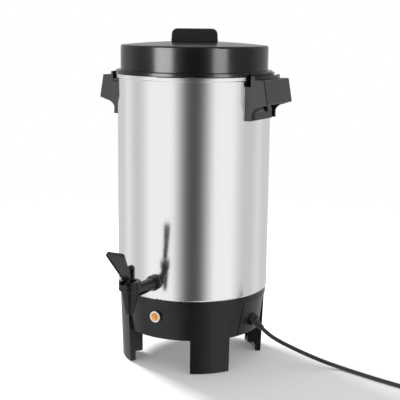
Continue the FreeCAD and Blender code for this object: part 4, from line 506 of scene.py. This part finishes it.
def world_bands(tree):
    """Soft vertical bands of light round the horizon: dark behind the camera, bright panels each side."""
    coordinates = tree.nodes.new("ShaderNodeTexCoord")
    split = tree.nodes.new("ShaderNodeSeparateXYZ")
    tree.links.new(coordinates.outputs["Generated"], split.inputs["Vector"])
    turn = tree.nodes.new("ShaderNodeVectorRotate")
    turn.rotation_type = "Z_AXIS"
    turn.inputs["Angle"].default_value = -CAMERA_BEARING
    tree.links.new(coordinates.outputs["Generated"], turn.inputs["Vector"])
    turned = tree.nodes.new("ShaderNodeSeparateXYZ")
    tree.links.new(turn.outputs["Vector"], turned.inputs["Vector"])
    bearing = tree.nodes.new("ShaderNodeMath")
    bearing.operation = "ARCTAN2"
    behind = tree.nodes.new("ShaderNodeMath")
    behind.operation = "MULTIPLY"
    behind.inputs[1].default_value = -1.0
    tree.links.new(turned.outputs["Y"], behind.inputs[0])
    tree.links.new(turned.outputs["X"], bearing.inputs[0])
    tree.links.new(behind.outputs["Value"], bearing.inputs[1])
    share = tree.nodes.new("ShaderNodeMapRange")
    share.inputs["From Min"].default_value = -math.pi
    share.inputs["From Max"].default_value = math.pi
    tree.links.new(bearing.outputs["Value"], share.inputs["Value"])
    ramp = tree.nodes.new("ShaderNodeValToRGB")
    ramp.color_ramp.interpolation = "B_SPLINE"
    # Bearing from the camera's side in degrees, and how bright the studio is there
    bands = [(-180, 0.66), (-128, 0.66), (-115, 1.02), (-102, 0.64), (-84, 0.64), (-66, 1.12), (-50, 1.30),
             (-34, 1.12), (-22, 0.55), (-10, 0.06), (10, 0.06), (22, 0.55), (34, 1.12), (46, 1.25), (60, 1.02),
             (76, 0.64), (100, 0.62), (114, 0.86), (128, 0.66), (180, 0.66)]
    elements = ramp.color_ramp.elements
    elements[0].position = 0.0
    elements[1].position = 1.0
    for index, (degrees, level) in enumerate(bands):
        position = (degrees + 180) / 360
        if index == 0:
            element = elements[0]
        elif index == len(bands) - 1:
            element = elements[len(elements) - 1]
        else:
            element = elements.new(position)
        element.color = (level, level, level, 1)
    tree.links.new(share.outputs["Result"], ramp.inputs["Fac"])
    return ramp.outputs["Color"], split.outputs["Z"]


def studio_world():
    """White to the camera, soft bands near the horizon and an even pale sky above."""
    world = bpy.data.worlds.new("studio")
    bpy.context.scene.world = world
    world.use_nodes = True
    tree = world.node_tree
    background = tree.nodes["Background"]
    bands, height = world_bands(tree)
    overhead = tree.nodes.new("ShaderNodeMapRange")
    overhead.inputs["From Min"].default_value = 0.45
    overhead.inputs["From Max"].default_value = 0.85
    tree.links.new(height, overhead.inputs["Value"])
    sky = tree.nodes.new("ShaderNodeMix")
    sky.data_type = "RGBA"
    sky.inputs["B"].default_value = (0.85, 0.85, 0.85, 1)
    tree.links.new(overhead.outputs["Result"], sky.inputs["Factor"])
    tree.links.new(bands, sky.inputs["A"])
    path = tree.nodes.new("ShaderNodeLightPath")
    seen = tree.nodes.new("ShaderNodeMix")
    seen.data_type = "RGBA"
    seen.inputs["B"].default_value = (1, 1, 1, 1)
    tree.links.new(path.outputs["Is Camera Ray"], seen.inputs["Factor"])
    tree.links.new(sky.outputs["Result"], seen.inputs["A"])
    tree.links.new(seen.outputs["Result"], background.inputs["Color"])


def pale_floor(size, tone):
    """Wide pale floor that keeps the urn's shadow and is white to the camera elsewhere."""
    bm = bmesh.new()
    bmesh.ops.create_grid(bm, x_segments=8, y_segments=8, size=size / 2)
    mesh = bpy.data.meshes.new("studio_floor")
    bm.to_mesh(mesh)
    bm.free()
    floor = bpy.data.objects.new("studio_floor", mesh)
    bpy.context.scene.collection.objects.link(floor)
    material = bpy.data.materials.new("floor_paper")
    material.use_nodes = True
    tree = material.node_tree
    tree.nodes.remove(next(node for node in tree.nodes if node.type == "BSDF_PRINCIPLED"))
    output = next(node for node in tree.nodes if node.type == "OUTPUT_MATERIAL")
    paper = tree.nodes.new("ShaderNodeBsdfDiffuse")
    paper.inputs["Color"].default_value = (tone, tone, tone * 0.985, 1)
    lift = tree.nodes.new("ShaderNodeEmission")
    lift.inputs["Color"].default_value = (1, 1, 1, 1)
    lift.inputs["Strength"].default_value = FLOOR_GLOW
    both = tree.nodes.new("ShaderNodeAddShader")
    path = tree.nodes.new("ShaderNodeLightPath")
    plain = tree.nodes.new("ShaderNodeMixShader")
    clear = tree.nodes.new("ShaderNodeBsdfTransparent")
    mirrored = tree.nodes.new("ShaderNodeMixShader")
    tree.links.new(paper.outputs["BSDF"], both.inputs[0])
    tree.links.new(lift.outputs["Emission"], both.inputs[1])
    coordinates = tree.nodes.new("ShaderNodeTexCoord")
    reach = tree.nodes.new("ShaderNodeVectorMath")
    reach.operation = "LENGTH"
    tree.links.new(coordinates.outputs["Object"], reach.inputs[0])
    fade = tree.nodes.new("ShaderNodeMapRange")
    fade.interpolation_type = "SMOOTHSTEP"
    fade.inputs["From Min"].default_value = FLOOR_FADE_START
    fade.inputs["From Max"].default_value = FLOOR_FADE_END
    tree.links.new(reach.outputs["Value"], fade.inputs["Value"])
    white = tree.nodes.new("ShaderNodeEmission")
    far = tree.nodes.new("ShaderNodeMixShader")
    tree.links.new(fade.outputs["Result"], far.inputs["Fac"])
    tree.links.new(both.outputs["Shader"], far.inputs[1])
    tree.links.new(white.outputs["Emission"], far.inputs[2])
    tree.links.new(path.outputs["Is Camera Ray"], plain.inputs["Fac"])
    tree.links.new(paper.outputs["BSDF"], plain.inputs[1])
    tree.links.new(far.outputs["Shader"], plain.inputs[2])
    tree.links.new(path.outputs["Is Glossy Ray"], mirrored.inputs["Fac"])
    tree.links.new(plain.outputs["Shader"], mirrored.inputs[1])
    tree.links.new(clear.outputs["BSDF"], mirrored.inputs[2])
    tree.links.new(mirrored.outputs["Shader"], output.inputs["Surface"])
    mesh.materials.append(material)


def soft_light(name, bearing, distance, height, wide, high, power, target, lit=()):
    """Rectangular soft light that faces a point. It lights everything, or only the nodes that are named."""
    data = bpy.data.lights.new(name, "AREA")
    data.shape = "RECTANGLE"
    data.size = wide
    data.size_y = high
    data.energy = power
    lamp = bpy.data.objects.new(name, data)
    angle = math.radians(bearing)
    place = Vector((math.sin(angle) * distance, -math.cos(angle) * distance, height))
    lamp.location = place
    lamp.rotation_euler = (Vector(target) - place).to_track_quat("-Z", "Y").to_euler()
    lamp.visible_camera = False
    bpy.context.scene.collection.objects.link(lamp)
    if lit:
        receivers = bpy.data.collections.new(name + "_receivers")
        for node in lit:
            receivers.objects.link(nodes[node])
        lamp.light_linking.receiver_collection = receivers
    else:
        lamp.visible_glossy = False


def photo_camera():
    """Camera at the photograph's place, with its focal length."""
    pitch = CAMERA_PITCH
    yaw = CAMERA_YAW
    forward = Vector((math.sin(yaw) * math.cos(pitch), math.cos(yaw) * math.cos(pitch), -math.sin(pitch)))
    right = Vector((math.cos(yaw), -math.sin(yaw), 0))
    up = right.cross(forward)
    level_right = math.cos(CAMERA_ROLL) * right + math.sin(CAMERA_ROLL) * up
    level_up = -math.sin(CAMERA_ROLL) * right + math.cos(CAMERA_ROLL) * up
    turn = Matrix.Rotation(CAMERA_BEARING, 4, "Z")
    basis = Matrix((level_right, level_up, -forward)).transposed().to_4x4()
    basis.translation = Vector((0, -CAMERA_DISTANCE, CAMERA_HEIGHT))
    data = bpy.data.cameras.new("photo_camera")
    data.sensor_width = SENSOR_WIDTH
    data.lens = FOCAL_PIXELS * SENSOR_WIDTH / FRAME_PIXELS
    data.clip_start = 0.05
    data.clip_end = 50.0
    camera = bpy.data.objects.new("photo_camera", data)
    camera.matrix_world = turn @ basis
    bpy.context.scene.collection.objects.link(camera)
    bpy.context.scene.camera = camera


class URN_OT_stage(bpy.types.Operator):
    """Set up the pale floor, the soft studio light and the photograph's camera"""

    bl_idname = "urn.stage"
    bl_label = "Studio"

    def execute(self, context):
        stage = context.scene.urn_stage
        context.scene.view_settings.view_transform = "Standard"
        studio_world()
        pale_floor(stage.floor_size, stage.floor_tone)
        facing = math.degrees(CAMERA_BEARING)
        strips = stage.strip_power
        middle = (0, 0, 0.25)
        soft_light("key_light", facing - 140, 1.5, 1.5, 0.55, 0.55, stage.key_power, (0, 0, 0.2))
        # Highlights placed for the photograph's view: from the side the lid's edge burns out to white
        lid = ["lid_cover"]
        lid_level = (0, 0, 0.44)
        soft_light("lid_strip_left", facing - 46, 1.2, 0.5, 0.6, 0.8, strips, lid_level, lid)
        soft_light("lid_strip_right", facing + 38, 1.2, 0.5, 0.45, 0.8, strips * 0.48, lid_level, lid)
        black = ["handle_right", "handle_left", "tap_body", "tap_collar", "tap_bonnet", "tap_lever",
                 "base_housing"]
        soft_light("black_strip_left", facing - 55, 1.3, 0.45, 0.7, 1.0, strips * 0.22, middle, black)
        soft_light("black_strip_right", facing + 48, 1.3, 0.45, 0.4, 1.0, strips * 0.09, middle, black)
        photo_camera()
        return {"FINISHED"}


class URN_PT_panel(bpy.types.Panel):
    """Steps that dress the urn"""

    bl_idname = "URN_PT_panel"
    bl_label = "Coffee urn"
    bl_space_type = "VIEW_3D"
    bl_region_type = "UI"
    bl_category = "Coffee urn"

    def draw(self, context):
        layout = self.layout
        for name in UrnFinishSettings.__annotations__:
            layout.prop(context.scene.urn_finish, name)
        for name in UrnStageSettings.__annotations__:
            layout.prop(context.scene.urn_stage, name)
        for operator in OPERATORS:
            layout.operator(operator.bl_idname)


OPERATORS = (URN_OT_shell, URN_OT_lid, URN_OT_handles, URN_OT_base, URN_OT_lamp, URN_OT_tap, URN_OT_cord,
             URN_OT_stage)
CLASSES = (UrnFinishSettings, UrnStageSettings) + OPERATORS + (URN_PT_panel,)


def register():
    for item in CLASSES:
        bpy.utils.register_class(item)
    bpy.types.Scene.urn_finish = PointerProperty(type=UrnFinishSettings)
    bpy.types.Scene.urn_stage = PointerProperty(type=UrnStageSettings)


def unregister():
    del bpy.types.Scene.urn_stage
    del bpy.types.Scene.urn_finish
    for item in reversed(CLASSES):
        bpy.utils.unregister_class(item)


def main():
    register()
    for step in ("shell", "lid", "handles", "base", "lamp", "tap", "cord", "stage"):
        getattr(bpy.ops.urn, step)()


if __name__ == "__main__":
    main()
